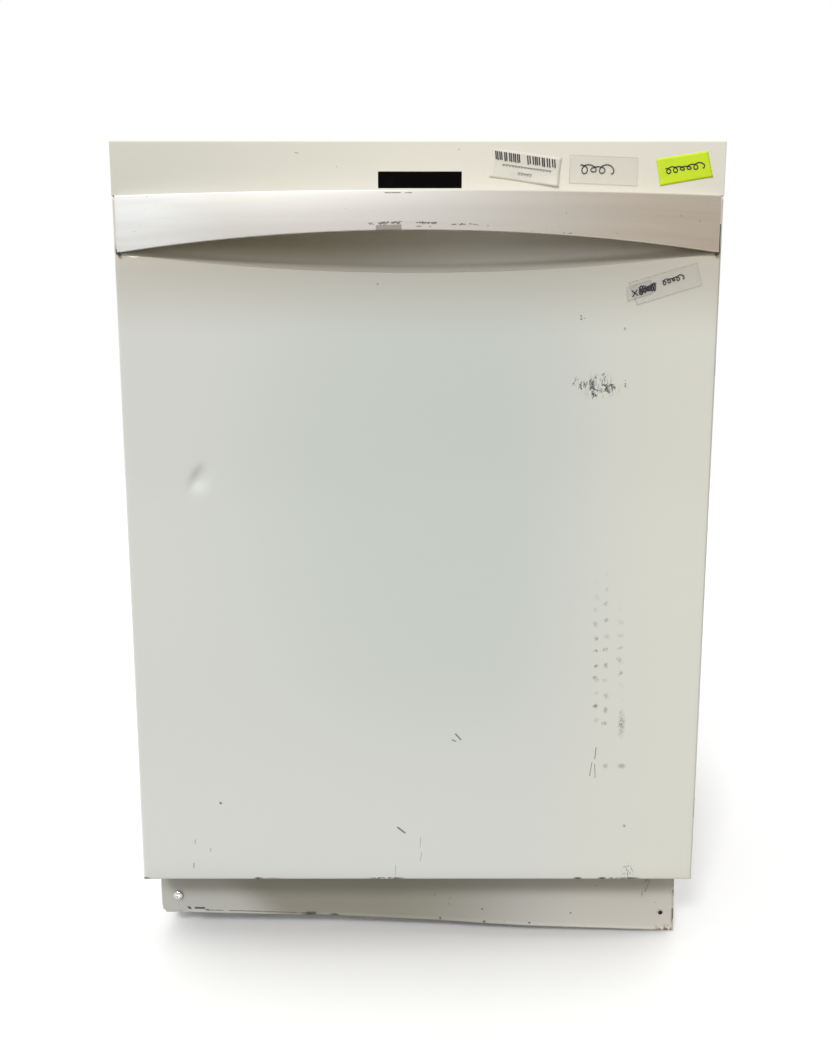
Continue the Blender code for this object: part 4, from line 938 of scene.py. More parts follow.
def make_stickers():
    label = [(0.0694, 0.8303), (0.1368, 0.8210), (0.1401, 0.8480), (0.0729, 0.8572)]
    film = [(0.1475, 0.8247), (0.2139, 0.8219), (0.2142, 0.8480), (0.1478, 0.8508)]
    neon = [(0.2364, 0.8219), (0.2877, 0.8303), (0.2817, 0.8545), (0.2315, 0.8471)]
    tape = [(0.2180, 0.7087), (0.2818, 0.7280), (0.2759, 0.7492), (0.2083, 0.7300)]
    sticker("price_label", label, paper("label_paper", (0.77, 0.755, 0.68)), 0.0003, raised=0.004)
    sticker("clear_film", film, paper("clear_film", (0.86, 0.86, 0.83), 0.14, 0.25), 0.0003)
    sticker("neon_slip", neon, paper("neon_paper", (0.66, 0.88, 0.012), 1.0, 0.55), 0.0003)
    sticker("clear_tape", tape, paper("clear_tape", (0.84, 0.83, 0.78), 0.16, 0.22), 0.0003)
    short = [(0.2085, 0.7120), (0.2330, 0.7200), (0.2310, 0.7330), (0.2065, 0.7255)]
    sticker("tape_over", short, paper("tape_over", (0.80, 0.79, 0.75), 0.22, 0.25), 0.0005)
    rim = paper("film_rim", (0.50, 0.50, 0.46), 0.30, 0.4)
    for name, corners in (("film", film), ("tape", tape), ("tape_over", short)):
        pen(name + "_rim", [[*corners, corners[0]]], 0.0004, 0.0007, rim)
    rng = random.Random(4)
    bars = []
    origin, across, down = Vector((0.0755, 0.8545)), Vector((0.0575, -0.0080)), Vector((0.0008, -0.0085))
    t = 0.0
    while t < 1.0:
        start = origin + across * t
        if not 0.40 < t < 0.50:
            bars.append([tuple(start), tuple(start + down * rng.uniform(0.88, 1.0))])
        t += rng.choice((0.030, 0.038, 0.052))
    pen("label_bars", bars, 0.0012, 0.00065)
    lines = [scribble((0.106, 0.8385), 0.048, 0.0016, 16, -0.0065, 200),
             scribble((0.104, 0.8325), 0.014, 0.0024, 5, -0.0020)]
    pen("label_lines", lines, 0.00035, 0.00065, paper("faint_ink", (0.28, 0.27, 0.25)))
    pen("film_marks", [scribble((0.173, 0.8375), 0.030, 0.0090, 3.5, -0.001)], 0.0009, 0.00065)
    pen("neon_marks", [scribble((0.259, 0.8385), 0.036, 0.0060, 5.5, 0.0055)], 0.0010, 0.00065)
    knot = [scribble((0.2275, 0.7245), 0.017, 0.0080, 7.0, 0.004, 200),
            scribble((0.2270, 0.7235), 0.014, 0.0060, 4.0, 0.005, 120),
            scribble((0.2520, 0.7330), 0.020, 0.0050, 4.5, 0.006, 120),
            [(0.2130, 0.7165), (0.2175, 0.7235)], [(0.2120, 0.7225), (0.2185, 0.7180)]]
    pen("tape_marks", knot, 0.0009, 0.0008)


# ---------------------------------------------------------------- toe panel
KICK_EAR, KICK_CORNER = 0.030, 0.009
KICK_EDGE_LEFT, KICK_EDGE_RIGHT = 0.0237, 0.0043
KICK_HOLES_APART, KICK_LEAN = 0.5605, math.radians(2.4)


def kick_low(x, low_x, high_x):
    """Lower edge of the toe panel: a rounded ear at the left, then one straight edge."""
    corner = low_x + KICK_CORNER
    ear = low_x + KICK_EAR
    if x < corner:
        return 0.0245 + KICK_CORNER - math.sqrt(max(0.0, KICK_CORNER**2 - (corner - x) ** 2))
    if x <= ear - 0.002:
        return 0.0245 + 0.0040 * ((x - corner) / (ear - corner)) ** 1.5
    share = (x - ear) / (high_x - ear)
    return KICK_EDGE_LEFT + (KICK_EDGE_RIGHT - KICK_EDGE_LEFT) * max(0.0, share)


def twist(x):
    """How far the loose panel's lower edge has swung forward at x."""
    return float(np.interp(x, (-0.278, -0.100, 0.025, 0.077, 0.130), (0, -0.003, 0, 0.003, 0.005)))


def make_kick_panel():
    """A dented, twisted plate with a folded hem and one empty screw hole."""
    low, high = corners_of("kick_panel")
    ear = low.x + KICK_EAR
    shares = spread([0.0, 0.045, 0.09, 1.0], [4, 4, 16])
    xs = spread([low.x, low.x + KICK_CORNER, ear - 0.002, ear, high.x], [7, 8, 1, 130])
    rows = []
    for share in shares:
        row = []
        for x in xs:
            foot = kick_low(x, low.x, high.x)
            top = 0.0920 - 0.0220 * (x - low.x) / (high.x - low.x)
            hem = 0.0008 * math.exp(-(((share - 0.022) / 0.022) ** 2)) if x > ear else 0.0
            wave = 0.0012 * math.sin(9.0 * (x + 0.05)) * share * (1 - share)
            place = low.y + 0.0012 - hem + wave - twist(x) * (1 - share)
            row.append((x, place, foot + (top - foot) * share))
        rows.append(row)
    bm, _ = skin(rows)
    made = piece("kick_plate", bm, KICK_PAINT, "cabinet", ["kick_panel"], 40)
    orient(made, Vector((0, -1, 0)))
    thicken(made, 0.0010)
    settle(made)
    screw_low, screw_high = (Vector(corner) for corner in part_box("kick_screw"))
    centre = (screw_low + screw_high) / 2
    across = Vector((KICK_HOLES_APART, 0, 0.0025 - KICK_HOLES_APART * math.tan(KICK_LEAN)))
    place = centre + across
    drill(made, (place.x, 0, place.z), 0.0026)
    bm = box_into(bmesh.new(), (place.x - 0.007, low.y + 0.0012, place.z - 0.005),
                  (place.x + 0.007, low.y + 0.0026, place.z + 0.005))
    nut = piece("clip_nut", bm, DARK, "cabinet", smooth=0)
    soften(nut, 0.0005, 2)


def drill(made, centre, radius):
    cutter_mesh = bpy.data.meshes.new("drill")
    bm = lathe([(0, -0.30), (radius, -0.30), (radius, -0.20), (0, -0.20)], centre, 1, 32)
    bmesh.ops.recalc_face_normals(bm, faces=bm.faces)
    bm.to_mesh(cutter_mesh)
    bm.free()
    cutter = bpy.data.objects.new("drill", cutter_mesh)
    bpy.context.collection.objects.link(cutter)
    add_modifier(made, "BOOLEAN", operation="DIFFERENCE", solver="EXACT", object=cutter)
    settle(made)
    bpy.data.objects.remove(cutter, do_unlink=True)


def make_kick_screw():
    """A pan-head screw with a cross recess."""
    low, high = corners_of("kick_screw")
    centre = ((low.x + high.x) / 2, low.y, (low.z + high.z) / 2)
    head = [(0, 0.0)] + [(0.0055 * math.sin(a), 0.0024 * (1 - math.cos(a))) for a in
                         [math.radians(d) for d in (15, 30, 45, 60, 75, 90)]]
    head += [(0.0055, 0.0028), (0.0022, 0.0028), (0.0022, 0.0120), (0, 0.0120)]
    made = piece("toe_screw", lathe(head, centre, 1, 48), BRIGHT, "cabinet",
                 ["kick_screw"])
    x, y, z = centre
    for wide, tall in ((0.0026, 0.0007), (0.0007, 0.0026)):
        carve(made, (x - wide, y - 0.001, z - tall), (x + wide, y + 0.0015, z + tall))


# ---------------------------------------------------------------- door inside
def outline(half, low, high, y, radius, steps=6):
    corners = [(-half, y, low), (half, y, low), (half, y, high), (-half, y, high)]
    return rounded(corners, radius, steps)


def make_liner():
    """The pressed inner door with a stepped, round-cornered field."""
    rows = []
    for inset, y, radius in ((0, LINER_FRONT, 0.008), (0, LINER_BACK - 0.004, 0.008),
                             (0.0012, LINER_BACK - 0.0012, 0.009), (0.004, LINER_BACK, 0.011),
                             (0.028, LINER_BACK, 0.024), (0.031, LINER_BACK - 0.0012, 0.025),
                             (0.034, LINER_BACK - 0.005, 0.026), (0.037, LINER_BACK - 0.006, 0.027),
                             (0.080, LINER_BACK - 0.006, 0.030), (0.083, LINER_BACK - 0.0045, 0.031),
                             (0.088, LINER_BACK - 0.0045, 0.032)):
        rows.append(outline(LINER_HALF - inset, LINER_LOW + inset, LINER_HIGH - inset, y, radius))
    bm, made = skin(rows, closed=True)
    bm.faces.new(made[-1])
    made = piece("liner_pressing", bm, LINER_STEEL, "door", ["inner_liner"], 35)
    orient(made, Vector((0, 1, 0)))
    thicken(made, 0.0008)
    settle(made)
    carve(made, (-0.0120, -0.260, 0.8395), (0.0120, -0.220, 0.8475))
    carve(made, (-0.0120, LINER_FRONT - 0.001, 0.8500), (0.0120, LINER_BACK - 0.0020, LINER_HIGH + 0.001))


def make_dispenser():
    dress("dispenser_body", GREY, 0.0012, 3)
    dress("dispenser_lid", PALE, 0.0008, 3)
    low, high = corners_of("dispenser_lid")
    bm = bmesh.new()
    for i in range(5):
        z = low.z + 0.010 + 0.006 * i
        tube(bm, [(low.x + 0.012, high.y, z), (high.x - 0.012, high.y, z)], 0.0012, 10)
    piece("lid_grips", bm, PALE, "detergent_lid")
    low, high = corners_of("rinse_cap")
    x, z = (low.x + high.x) / 2, (low.z + high.z) / 2
    rim = [(0, 0), (0.0168, 0), (0.0170, 0.0004), (0.0170, 0.0026), (0.0164, 0.0034),
           (0.0150, 0.0036), (0.0142, 0.0024), (0, 0.0024)]
    bm = lathe(rim, (x, low.y, z), 1, 72)
    tube(bm, [(x, low.y + 0.0034, z - 0.0128), (x, low.y + 0.0036, z - 0.012),
              (x, low.y + 0.0036, z + 0.012), (x, low.y + 0.0034, z + 0.0128)],
         [0.0006, 0.0020, 0.0020, 0.0006], 16)
    piece("rinse_cap_moulding", bm, BLUE, "rinse_aid_cap", ["rinse_cap"])


def make_vent():
    """A round grille with louvres."""
    low, high = corners_of("door_vent")
    x, z = (low.x + high.x) / 2, (low.z + high.z) / 2
    rim = [(0.0215, 0), (0.0298, 0), (0.0300, 0.0004), (0.0300, 0.0030), (0.0285, 0.0050),
           (0.0250, 0.0060), (0.0225, 0.0058), (0.0215, 0.0040)]
    bm = lathe(rim, (x, low.y, z), 1, 72)
    lathe([(0, 0), (0.0220, 0), (0.0220, 0.0012), (0, 0.0012)], (x, low.y, z), 1, 48, bm)
    for i in range(-3, 4):
        reach = math.sqrt(0.0220**2 - (0.0058 * i) ** 2)
        level = z + 0.0058 * i
        box_into(bm, (x - reach, low.y + 0.001, level - 0.0010), (x + reach, low.y + 0.0052, level + 0.0010))
    piece("vent_grille", bm, GREY, "door", ["door_vent"])


# ---------------------------------------------------------------- tub
def tub_ring(y, side, top, floor, radius):
    """One round-cornered section of the tub: ledges at the sides and the basin between them."""
    half, basin = 0.2782 - side, 0.2352 - floor
    ledge, deep, high = 0.1675 + floor, 0.1502 + floor, 0.8328 - top
    corners = [(-half, y, ledge), (-basin, y, ledge), (-basin, y, deep), (basin, y, deep),
               (basin, y, ledge), (half, y, ledge), (half, y, high), (-half, y, high)]
    small = min(radius, 0.008)
    rings = []
    for i, reach in enumerate((radius, small, small, small, small, radius, radius, radius)):
        before, corner, after = corners[i - 1], corners[i], corners[(i + 1) % 8]
        rings += rounded([before, corner, after], reach, 5, closed=False)[1:-1]
    return rings


def make_tub():
    """One deep-drawn shell: flange, ribbed sides and a stepped back wall."""
    y = TUB_FRONT
    flange = [(-0.285, y, 0.1600), (-0.285, y, 0.1402), (-0.235, y, 0.1400), (0.235, y, 0.1400),
              (0.285, y, 0.1402), (0.285, y, 0.1600), (0.285, y, 0.8470), (-0.285, y, 0.8470)]
    first = []
    for i in range(8):
        reach = 0.010 if i in (6, 7) else 0.003
        first += rounded([flange[i - 1], flange[i], flange[(i + 1) % 8]], reach, 5, closed=False)[1:-1]
    rows = [first, tub_ring(y, -0.0018, -0.0018, -0.0005, 0.020),
            tub_ring(y + 0.0006, -0.0005, -0.0005, -0.0002, 0.020), tub_ring(y + 0.002, 0, 0, 0, 0.020)]
    for centre in (-0.150, -0.050, 0.050, 0.150):
        for offset, rib in ((-0.016, 0), (-0.011, 0.0022), (0.011, 0.0022), (0.016, 0)):
            rows.append(tub_ring(centre + offset, rib, rib, 0, 0.020))
    back = TUB_BACK - 0.0022
    for inset, step in ((0, 0.022), (0.0017, 0.0132), (0.0065, 0.0064), (0.0140, 0.0016), (0.022, 0)):
        rows.append(tub_ring(back - step, inset, inset, inset * 0.2, 0.022))
    bm, made = skin(rows, closed=True)
    last = made[-1]
    for inset, step in ((0.045, 0.0), (0.049, -0.0008), (0.060, -0.0010)):
        ring = tub_ring(back - step, inset, inset, inset, 0.030)
        verts = [bm.verts.new(p) for p in ring]
        for i in range(len(verts)):
            j = (i + 1) % len(verts)
            bm.faces.new((last[i], last[j], verts[j], verts[i]))
        last = verts
    bm.faces.new(last)
    made = piece("tub_shell", bm, TUB_STEEL, "cabinet", ["tub"], 35)
    orient(made, Vector((0, -1, 0)))
    thicken(made, 0.0010)
    settle(made)
    low, high = corners_of("sump")
    middle = (low + high) / 2
    cutter_mesh = bpy.data.meshes.new("drill")
    bm = lathe([(0, 0.13), (0.0752, 0.13), (0.0752, 0.16), (0, 0.16)], (middle.x, middle.y, 0), 2, 64)
    bmesh.ops.recalc_face_normals(bm, faces=bm.faces)
    bm.to_mesh(cutter_mesh)
    bm.free()
    cutter = bpy.data.objects.new("drill", cutter_mesh)
    bpy.context.collection.objects.link(cutter)
    add_modifier(made, "BOOLEAN", operation="DIFFERENCE", solver="EXACT", object=cutter)
    settle(made)
    bpy.data.objects.remove(cutter, do_unlink=True)
    carve(made, (-0.0108, TUB_FRONT - 0.002, 0.8412), (0.0108, TUB_FRONT + 0.003, 0.8500))


def make_seal():
    """A hollow-looking bead with a thin lip along its outer side."""
    y = (LINER_BACK + TUB_FRONT) / 2
    low = edge("door_seal", 0, 2)
    side, top = 0.2810, 0.8365
    route = rounded([(side, y, low), (side, y, top), (-side, y, top), (-side, y, low)],
                    0.020, 10, closed=False)
    bm = tube(bmesh.new(), route, 0.0043, 20)
    lip = rounded([(side - 0.0030, y - 0.0034, low), (side - 0.0030, y - 0.0034, top - 0.003),
                   (0.0030 - side, y - 0.0034, top - 0.003), (0.0030 - side, y - 0.0034, low)],
                  0.018, 10, closed=False)
    tube(bm, lip, 0.0010, 10)
    piece("mouth_gasket", bm, RUBBER, "cabinet", ["door_seal"])


def make_sump():
    low, high = corners_of("sump")
    centre = ((low.x + high.x) / 2, (low.y + high.y) / 2, 0)
    profile = [(0, 0.0600), (0.048, 0.0600), (0.052, 0.0612), (0.0765, 0.0830), (0.0780, 0.0860),
               (0.0780, 0.1392), (0.0895, 0.1400), (0.0900, 0.1405), (0.0900, 0.1470),
               (0.0895, 0.1477), (0.0750, 0.1477), (0.0745, 0.0880), (0.0480, 0.0645),
               (0.0190, 0.0640), (0.0160, 0.0700), (0.0140, 0.0900), (0.0140, 0.1755),
               (0.0135, 0.1760), (0.0060, 0.1760), (0.0055, 0.1890), (0, 0.1890)]
    bm = lathe(profile, centre, 2, 72)
    for i in range(8):
        turn = math.pi * (i + 0.5) / 4
        x, y = centre[0] + 0.084 * math.cos(turn), centre[1] + 0.084 * math.sin(turn)
        lathe([(0, 0.128), (0.0035, 0.128), (0.0035, 0.140), (0, 0.140)], (x, y, 0), 2, 16, bm)
    piece("sump_moulding", bm, GREY, "cabinet", ["sump"])


def make_filters():
    """A pierced steel filter plate, and the twist-out cup with its handle."""
    dress("filter_plate", pierced_steel(), 0.0003, 1)
    low, high = corners_of("filter_cup")
    centre = ((low.x + high.x) / 2, (low.y + high.y) / 2, 0)
    profile = [(0, 0.1000), (0.0230, 0.1000), (0.0240, 0.1010), (0.0240, 0.1503), (0.0266, 0.1503),
               (0.0270, 0.1508), (0.0270, 0.1526), (0.0262, 0.1531), (0.0215, 0.1528),
               (0.0208, 0.1515), (0.0208, 0.1040), (0, 0.1040)]
    bm = lathe(profile, centre, 2, 64)
    x, y, _ = centre
    tube(bm, [(x - 0.0228, y, 0.1500), (x - 0.0215, y, 0.1535), (x - 0.017, y, 0.1545),
              (x + 0.017, y, 0.1545), (x + 0.0215, y, 0.1535), (x + 0.0228, y, 0.1500)], 0.0019, 12)
    piece("filter_cup_moulding", bm, GREY, "filter", ["filter_cup"])


def pierced_steel():
    s = Shader("pierced_steel", (0.60, 0.60, 0.60), 0.28, 1.0)
    holes = s.cells(330.0)
    holes.inputs["Randomness"].default_value = 0.0
    mask = s.fade(holes.outputs["Distance"], 0.33, 0.27)
    s.tint(mask, (0.012, 0.012, 0.012))
    s.tint(s.fade(s.noise(60.0, 4.0), 0.5, 0.7), (0.50, 0.49, 0.46), 0.3)
    s.roughen(mask, 0.25, 0.9)
    s.bump(mask, 0.0003, 0.5)
    return s.done()


def make_arm(node, body, thickness):
    """A hollow-looking spray blade: an oval section that tapers, a domed hub and raised jets."""
    low, high = corners_of(node)
    centre = (low + high) / 2
    reach = (high.x - low.x) / 2
    rows = []
    for t in even(-1, 1, 61):
        width = 0.0285 - 0.0120 * abs(t) ** 1.3
        end = math.sqrt(max(0.0, 1 - max(0.0, (abs(t) - 0.93) / 0.07) ** 2))
        sweep = 0.004 * math.sin(t * 2.6)
        row = []
        for k in range(28):
            turn = 2 * math.pi * k / 28
            y = width * max(end, 0.02) * math.cos(turn)
            lift = thickness / 2 * max(end, 0.05) * (1 - 0.25 * abs(t)) * math.copysign(
                abs(math.sin(turn)) ** 0.7, math.sin(turn))
            row.append((centre.x + t * reach, centre.y + sweep + y, centre.z + lift))
        rows.append(row)
    bm, made = skin(rows, closed=True)
    bm.faces.new(made[0][::-1])
    bm.faces.new(made[-1])
    half = (high.z - low.z) / 2
    hub = [(0.0070, -half), (0.0290, -half), (0.0310, -half + 0.002), (0.0310, half * 0.4),
           (0.0260, half * 0.9), (0.0150, half), (0.0070, half)]
    lathe(hub, tuple(centre), 2, 56, bm)
    for i in range(6):
        for side in (-1, 1):
            t = side * (0.28 + 0.12 * i)
            x = centre.x + t * reach
            y = centre.y + 0.004 * math.sin(t * 2.6) + side * 0.005 * (1 if i % 2 else -1)
            z = centre.z + thickness / 2 * (1 - 0.25 * abs(t)) - 0.0012
            ring = [(0.0012, 0.0016), (0.0020, 0.0020), (0.0034, 0.0016), (0.0042, 0), (0.0012, 0)]
            lathe(ring, (x, y, z), 2, 20, bm)
    piece(node + "_moulding", bm, GREY, body, [node], 45)


def make_heater():
    low, high = corners_of("heating_element")
    middle = (low + high) / 2
    reach = (high.x - low.x) / 2 - 0.004
    opening = math.radians(6)
    leg, ring_back = 0.0205, middle.y + reach
    route = [(leg, ring_back - 0.002, low.z + 0.0002), (leg, ring_back - 0.0015, 0.159)]
    for i in range(73):
        turn = math.pi / 2 - opening - (2 * math.pi - 2 * opening) * i / 72
        route.append((reach * math.cos(turn), middle.y + reach * math.sin(turn), 0.163))
    route += [(-leg, ring_back - 0.0015, 0.159), (-leg, ring_back - 0.002, low.z + 0.0002)]
    bm = tube(bmesh.new(), route, 0.0039, 16)
    piece("heater_sheath", bm, BRIGHT, "cabinet", ["heating_element"], 60)
    bm = bmesh.new()
    for i in range(5):
        turn = math.radians(200 + 35 * i)
        x, y = reach * math.cos(turn), middle.y + reach * math.sin(turn)
        box_into(bm, (x - 0.004, y - 0.004, 0.1504), (x + 0.004, y + 0.004, 0.1590))
    made = piece("heater_clips", bm, BRIGHT, "cabinet", smooth=0)
    soften(made, 0.0008, 2)


def make_float():
    low, high = corners_of("float")
    centre = ((low.x + high.x) / 2, (low.y + high.y) / 2, 0)
    dome = [(0.0205 * math.sin(math.radians(a)), 0.1790 + 0.0078 * math.cos(math.radians(a)))
            for a in range(0, 91, 10)]
    dome[0] = (0, 0.1868)
    profile = dome + [(0.0216, 0.170), (0.0220, 0.1530), (0.0216, 0.1520), (0.0192, 0.1520),
                      (0.0190, 0.1740), (0, 0.1780)]
    bm = lathe(profile, centre, 2, 56)
    piece("float_cap_moulding", bm, GREY, "float_cap", ["float"])


def make_feed():
    """The riser with its clips, the docking nozzle, and the fixed head in the ceiling."""
    low, high = corners_of("feed_tube")
    back = high.y - 0.009
    bend_z = 0.8220
    route = rounded([(0, back, low.z), (0, back, bend_z), (0, low.y + 0.0005, bend_z)],
                    0.026, 10, closed=False)
    bm = tube(bmesh.new(), route, 0.0088, 24)
    lathe([(0.0045, -0.004), (0.0088, -0.004), (0.0088, 0.012), (0.0075, 0.0128), (0.0045, 0.0128)][::-1],
          (0, 0.2492, 0.4985), 1, 32, bm)
    for z in (0.25, 0.40, 0.60, 0.74):
        lathe([(0.0086, z - 0.006), (0.0100, z - 0.006), (0.0100, z + 0.006), (0.0086, z + 0.006)],
              (0, back, 0), 2, 32, bm)
    piece("riser_tube", bm, GREY, "cabinet", ["feed_tube"], 45)
    low, high = corners_of("top_spray_head")
    y = (low.y + high.y) / 2
    profile = [(0, 0.7970), (0.034, 0.7972), (0.040, 0.7990), (0.0438, 0.8040), (0.0440, 0.8060),
               (0.030, 0.8095), (0.0130, 0.8115), (0.0120, 0.8125), (0, 0.8125)]
    bm = lathe(profile, (0, y, 0), 2, 64)
    for i in range(12):
        turn = math.pi * i / 6
        spot = (0.026 * math.cos(turn), y + 0.026 * math.sin(turn), 0.7962)
        lathe([(0.0010, 0), (0.0022, 0), (0.0028, 0.001), (0.0010, 0.001)], spot, 2, 16, bm)
    piece("ceiling_spray_head", bm, GREY, "cabinet", ["top_spray_head"])
    low, high = corners_of("upper_arm_feed")
    bm = tube(bmesh.new(), [(0, high.y, 0.4985), (0, 0.020, 0.4985)], 0.0064, 24)
    hub = [(0, 0.4745), (0.0052, 0.4745), (0.0055, 0.4750), (0.0055, 0.4855), (0.0145, 0.4855),
           (0.0150, 0.4862), (0.0150, 0.5020), (0.0120, 0.5050), (0, 0.5050)]
    lathe(hub, (0, 0.020, 0), 2, 40, bm)
    piece("upper_feed_moulding", bm, GREY, "upper_rack_body", ["upper_arm_feed"])


# ---------------------------------------------------------------- racks
def basket_wires(bm, low_z, top_z, wall_x, levels, pitch, wire):
    """Rims, uprights that turn under into floor wires, and cross wires below them."""
    front, back = RACK_FRONT + wire, RACK_BACK - wire
    half = wall_x - wire
    for z, radius in levels:
        ring = rounded([(-half, front, z), (half, front, z), (half, back, z), (-half, back, z)], 0.022, 6)
        tube(bm, ring, radius, 10, closed=True)
    floor = low_z + wire
    count = int(2 * (half - 0.02) / pitch)
    for x in even(-half + 0.016, half - 0.016, count):
        route = rounded([(x, front, top_z), (x, front, floor), (x, back, floor), (x, back, top_z)],
                        0.010, 3, closed=False)
        tube(bm, route, wire * 0.62, 8)
    rows = int((back - front - 0.03) / (pitch * 1.15))
    for y in even(front + 0.018, back - 0.018, rows):
        route = rounded([(-half, y, top_z), (-half, y, floor - wire * 0.7), (half, y, floor - wire * 0.7),
                         (half, y, top_z)], 0.010, 3, closed=False)
        tube(bm, route, wire * 0.62, 8)


def tines(bm, y, xs, floor, height, lean, radius):
    for x in xs:
        tip = (x, y + lean, floor + height)
        tube(bm, [(x, y, floor), (x, y + lean * 0.5, floor + height * 0.5), tip,
                  (x, y + lean, floor + height + radius * 0.8)], [radius, radius, radius, radius * 0.3], 8)


def make_upper_rack():
    low, top = edge("upper_rack", 0, 2), edge("upper_rack", 1, 2)
    bm = bmesh.new()
    basket_wires(bm, low, top - 0.0026, RACK_HALF, ((top - 0.0026, 0.0026), (low + 0.055, 0.0020)),
                 0.026, 0.0026)
    rows = even(RACK_FRONT + 0.035, RACK_BACK - 0.035, 13)
    for x, lean in ((-0.075, -0.006), (0.060, 0.006), (0.165, 0.010)):
        tube(bm, [(x, rows[0] - 0.01, low + 0.0055), (x, rows[-1] + 0.01, low + 0.0055)], 0.0019, 8)
        for y in rows:
            tube(bm, [(x, y, low + 0.005), (x + lean * 0.4, y, low + 0.035), (x + lean, y, low + 0.062),
                      (x + lean, y, low + 0.064)], [0.0018, 0.0018, 0.0018, 0.0006], 8)
    piece("upper_rack_wires", bm, NYLON, "upper_rack_body", ["upper_rack"], 60)
    bm = bmesh.new()
    for side in (-1, 1):
        x_low, x_high = sorted((side * 0.2617, side * 0.2710))
        box_into(bm, (x_low, RACK_FRONT, 0.5937), (x_high, 0.214, 0.6063))
        for y in (-0.15, 0.02, 0.19):
            x_low, x_high = sorted((side * (RACK_HALF - 0.004), side * 0.2620))
            box_into(bm, (x_low, y - 0.007, 0.5970), (x_high, y + 0.007, 0.6030))
            x_low, x_high = sorted((side * (RACK_HALF - 0.0055), side * (RACK_HALF - 0.0005)))
            box_into(bm, (x_low, y - 0.016, 0.585), (x_high, y + 0.016, 0.618))
    made = piece("rack_runners", bm, BRIGHT, "upper_rack_body", smooth=0)
    soften(made, 0.0008, 2)


def make_cup_shelf():
    low, high = corners_of("cup_shelf")
    z = (low.z + high.z) / 2
    bm = bmesh.new()
    ring = rounded([(low.x + 0.002, low.y + 0.002, z), (high.x - 0.002, low.y + 0.002, z),
                    (high.x - 0.002, high.y - 0.002, z), (low.x + 0.002, high.y - 0.002, z)], 0.015, 6)
    tube(bm, ring, 0.0019, 10, closed=True)
    for y in even(low.y + 0.020, high.y - 0.020, 10):
        tube(bm, [(low.x + 0.002, y, z), (high.x - 0.002, y, z)], 0.0014, 8)
    for x in even(low.x + 0.03, high.x - 0.03, 2):
        tube(bm, [(x, low.y + 0.002, z), (x, high.y - 0.002, z)], 0.0014, 8)
    piece("cup_shelf_wires", bm, NYLON, "shelf", ["cup_shelf"], 60)


def make_lower_rack():
    low, top = edge("lower_rack", 0, 2), edge("lower_rack", 1, 2)
    floor = edge("silverware_basket", 0, 2) - 0.007
    bm = bmesh.new()
    basket_wires(bm, floor, top - 0.0028, RACK_HALF,
                 ((top - 0.0028, 0.0028), (floor + 0.068, 0.0021), (floor + 0.034, 0.0021)), 0.030, 0.0028)
    xs = even(-0.205, 0.100, 12)
    for y, height, lean in ((-0.120, 0.060, 0.006), (-0.040, 0.060, 0.006), (0.150, 0.100, 0.010)):
        tube(bm, [(xs[0] - 0.01, y, floor + 0.006), (xs[-1] + 0.01, y, floor + 0.006)], 0.0021, 8)
        tines(bm, y, xs, floor + 0.005, height, lean, 0.0020)
    piece("lower_rack_wires", bm, NYLON, "lower_rack_body", ["lower_rack"], 60)
    bm = bmesh.new()
    for side in (-1, 1):
        for end in ("front", "rear"):
            name = f"wheel_{end}_{'left' if side < 0 else 'right'}"
            wheel = (Vector(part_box(name)[0]) + Vector(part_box(name)[1])) / 2
            x_low, x_high = sorted((side * (RACK_HALF - 0.0065), side * (RACK_HALF - 0.0005)))
            box_into(bm, (x_low, wheel.y - 0.010, low), (x_high, wheel.y + 0.010, floor + 0.012))
            lathe([(0, -0.013), (0.0029, -0.013), (0.0029, 0.0085), (0, 0.0085)],
                  (wheel.x, wheel.y, wheel.z), 0, 20, bm)
    made = piece("wheel_brackets", bm, GREY, "lower_rack_body", smooth=40)
    soften(made, 0.0008, 2, 50)


def make_wheels():
    """Spoked rack wheels with a rounded tread."""
    for side in ("left", "right"):
        for end in ("front", "rear"):
            node = f"wheel_{end}_{side}"
            low, high = corners_of(node)
            centre = (low + high) / 2
            radius, half = (high.z - low.z) / 2, (high.x - low.x) / 2
            tread = [(radius - 0.004, -half), (radius - 0.0010, -half), (radius, -half + 0.001),
                     (radius, half - 0.001), (radius - 0.0010, half), (radius - 0.004, half)]
            bm = lathe(tread, tuple(centre), 0, 56)
            hub = [(0.0034, -half), (0.0062, -half), (0.0066, -half + 0.0004), (0.0066, half - 0.0004),
                   (0.0062, half), (0.0034, half)]
            lathe(hub, tuple(centre), 0, 32, bm)
            for i in range(6):
                turn = math.pi * i / 3
                ray = Vector((0, math.cos(turn), math.sin(turn)))
                tube(bm, [centre + ray * 0.0060, centre + ray * (radius - 0.0035)], 0.0015, 8)
            piece(node + "_moulding", bm, GREY, node + "_body", [node])


def make_tine_row():
    low, high = corners_of("tine_row")
    y = (low.y + high.y) / 2
    bm = tube(bmesh.new(), [(low.x, y, low.z + 0.002), (high.x, y, low.z + 0.002)], 0.0020, 12)
    tines(bm, y, even(low.x + 0.010, high.x - 0.010, 12), low.z + 0.001, 0.084, 0.0, 0.0019)
    piece("folding_tines", bm, NYLON, "tines", ["tine_row"], 60)


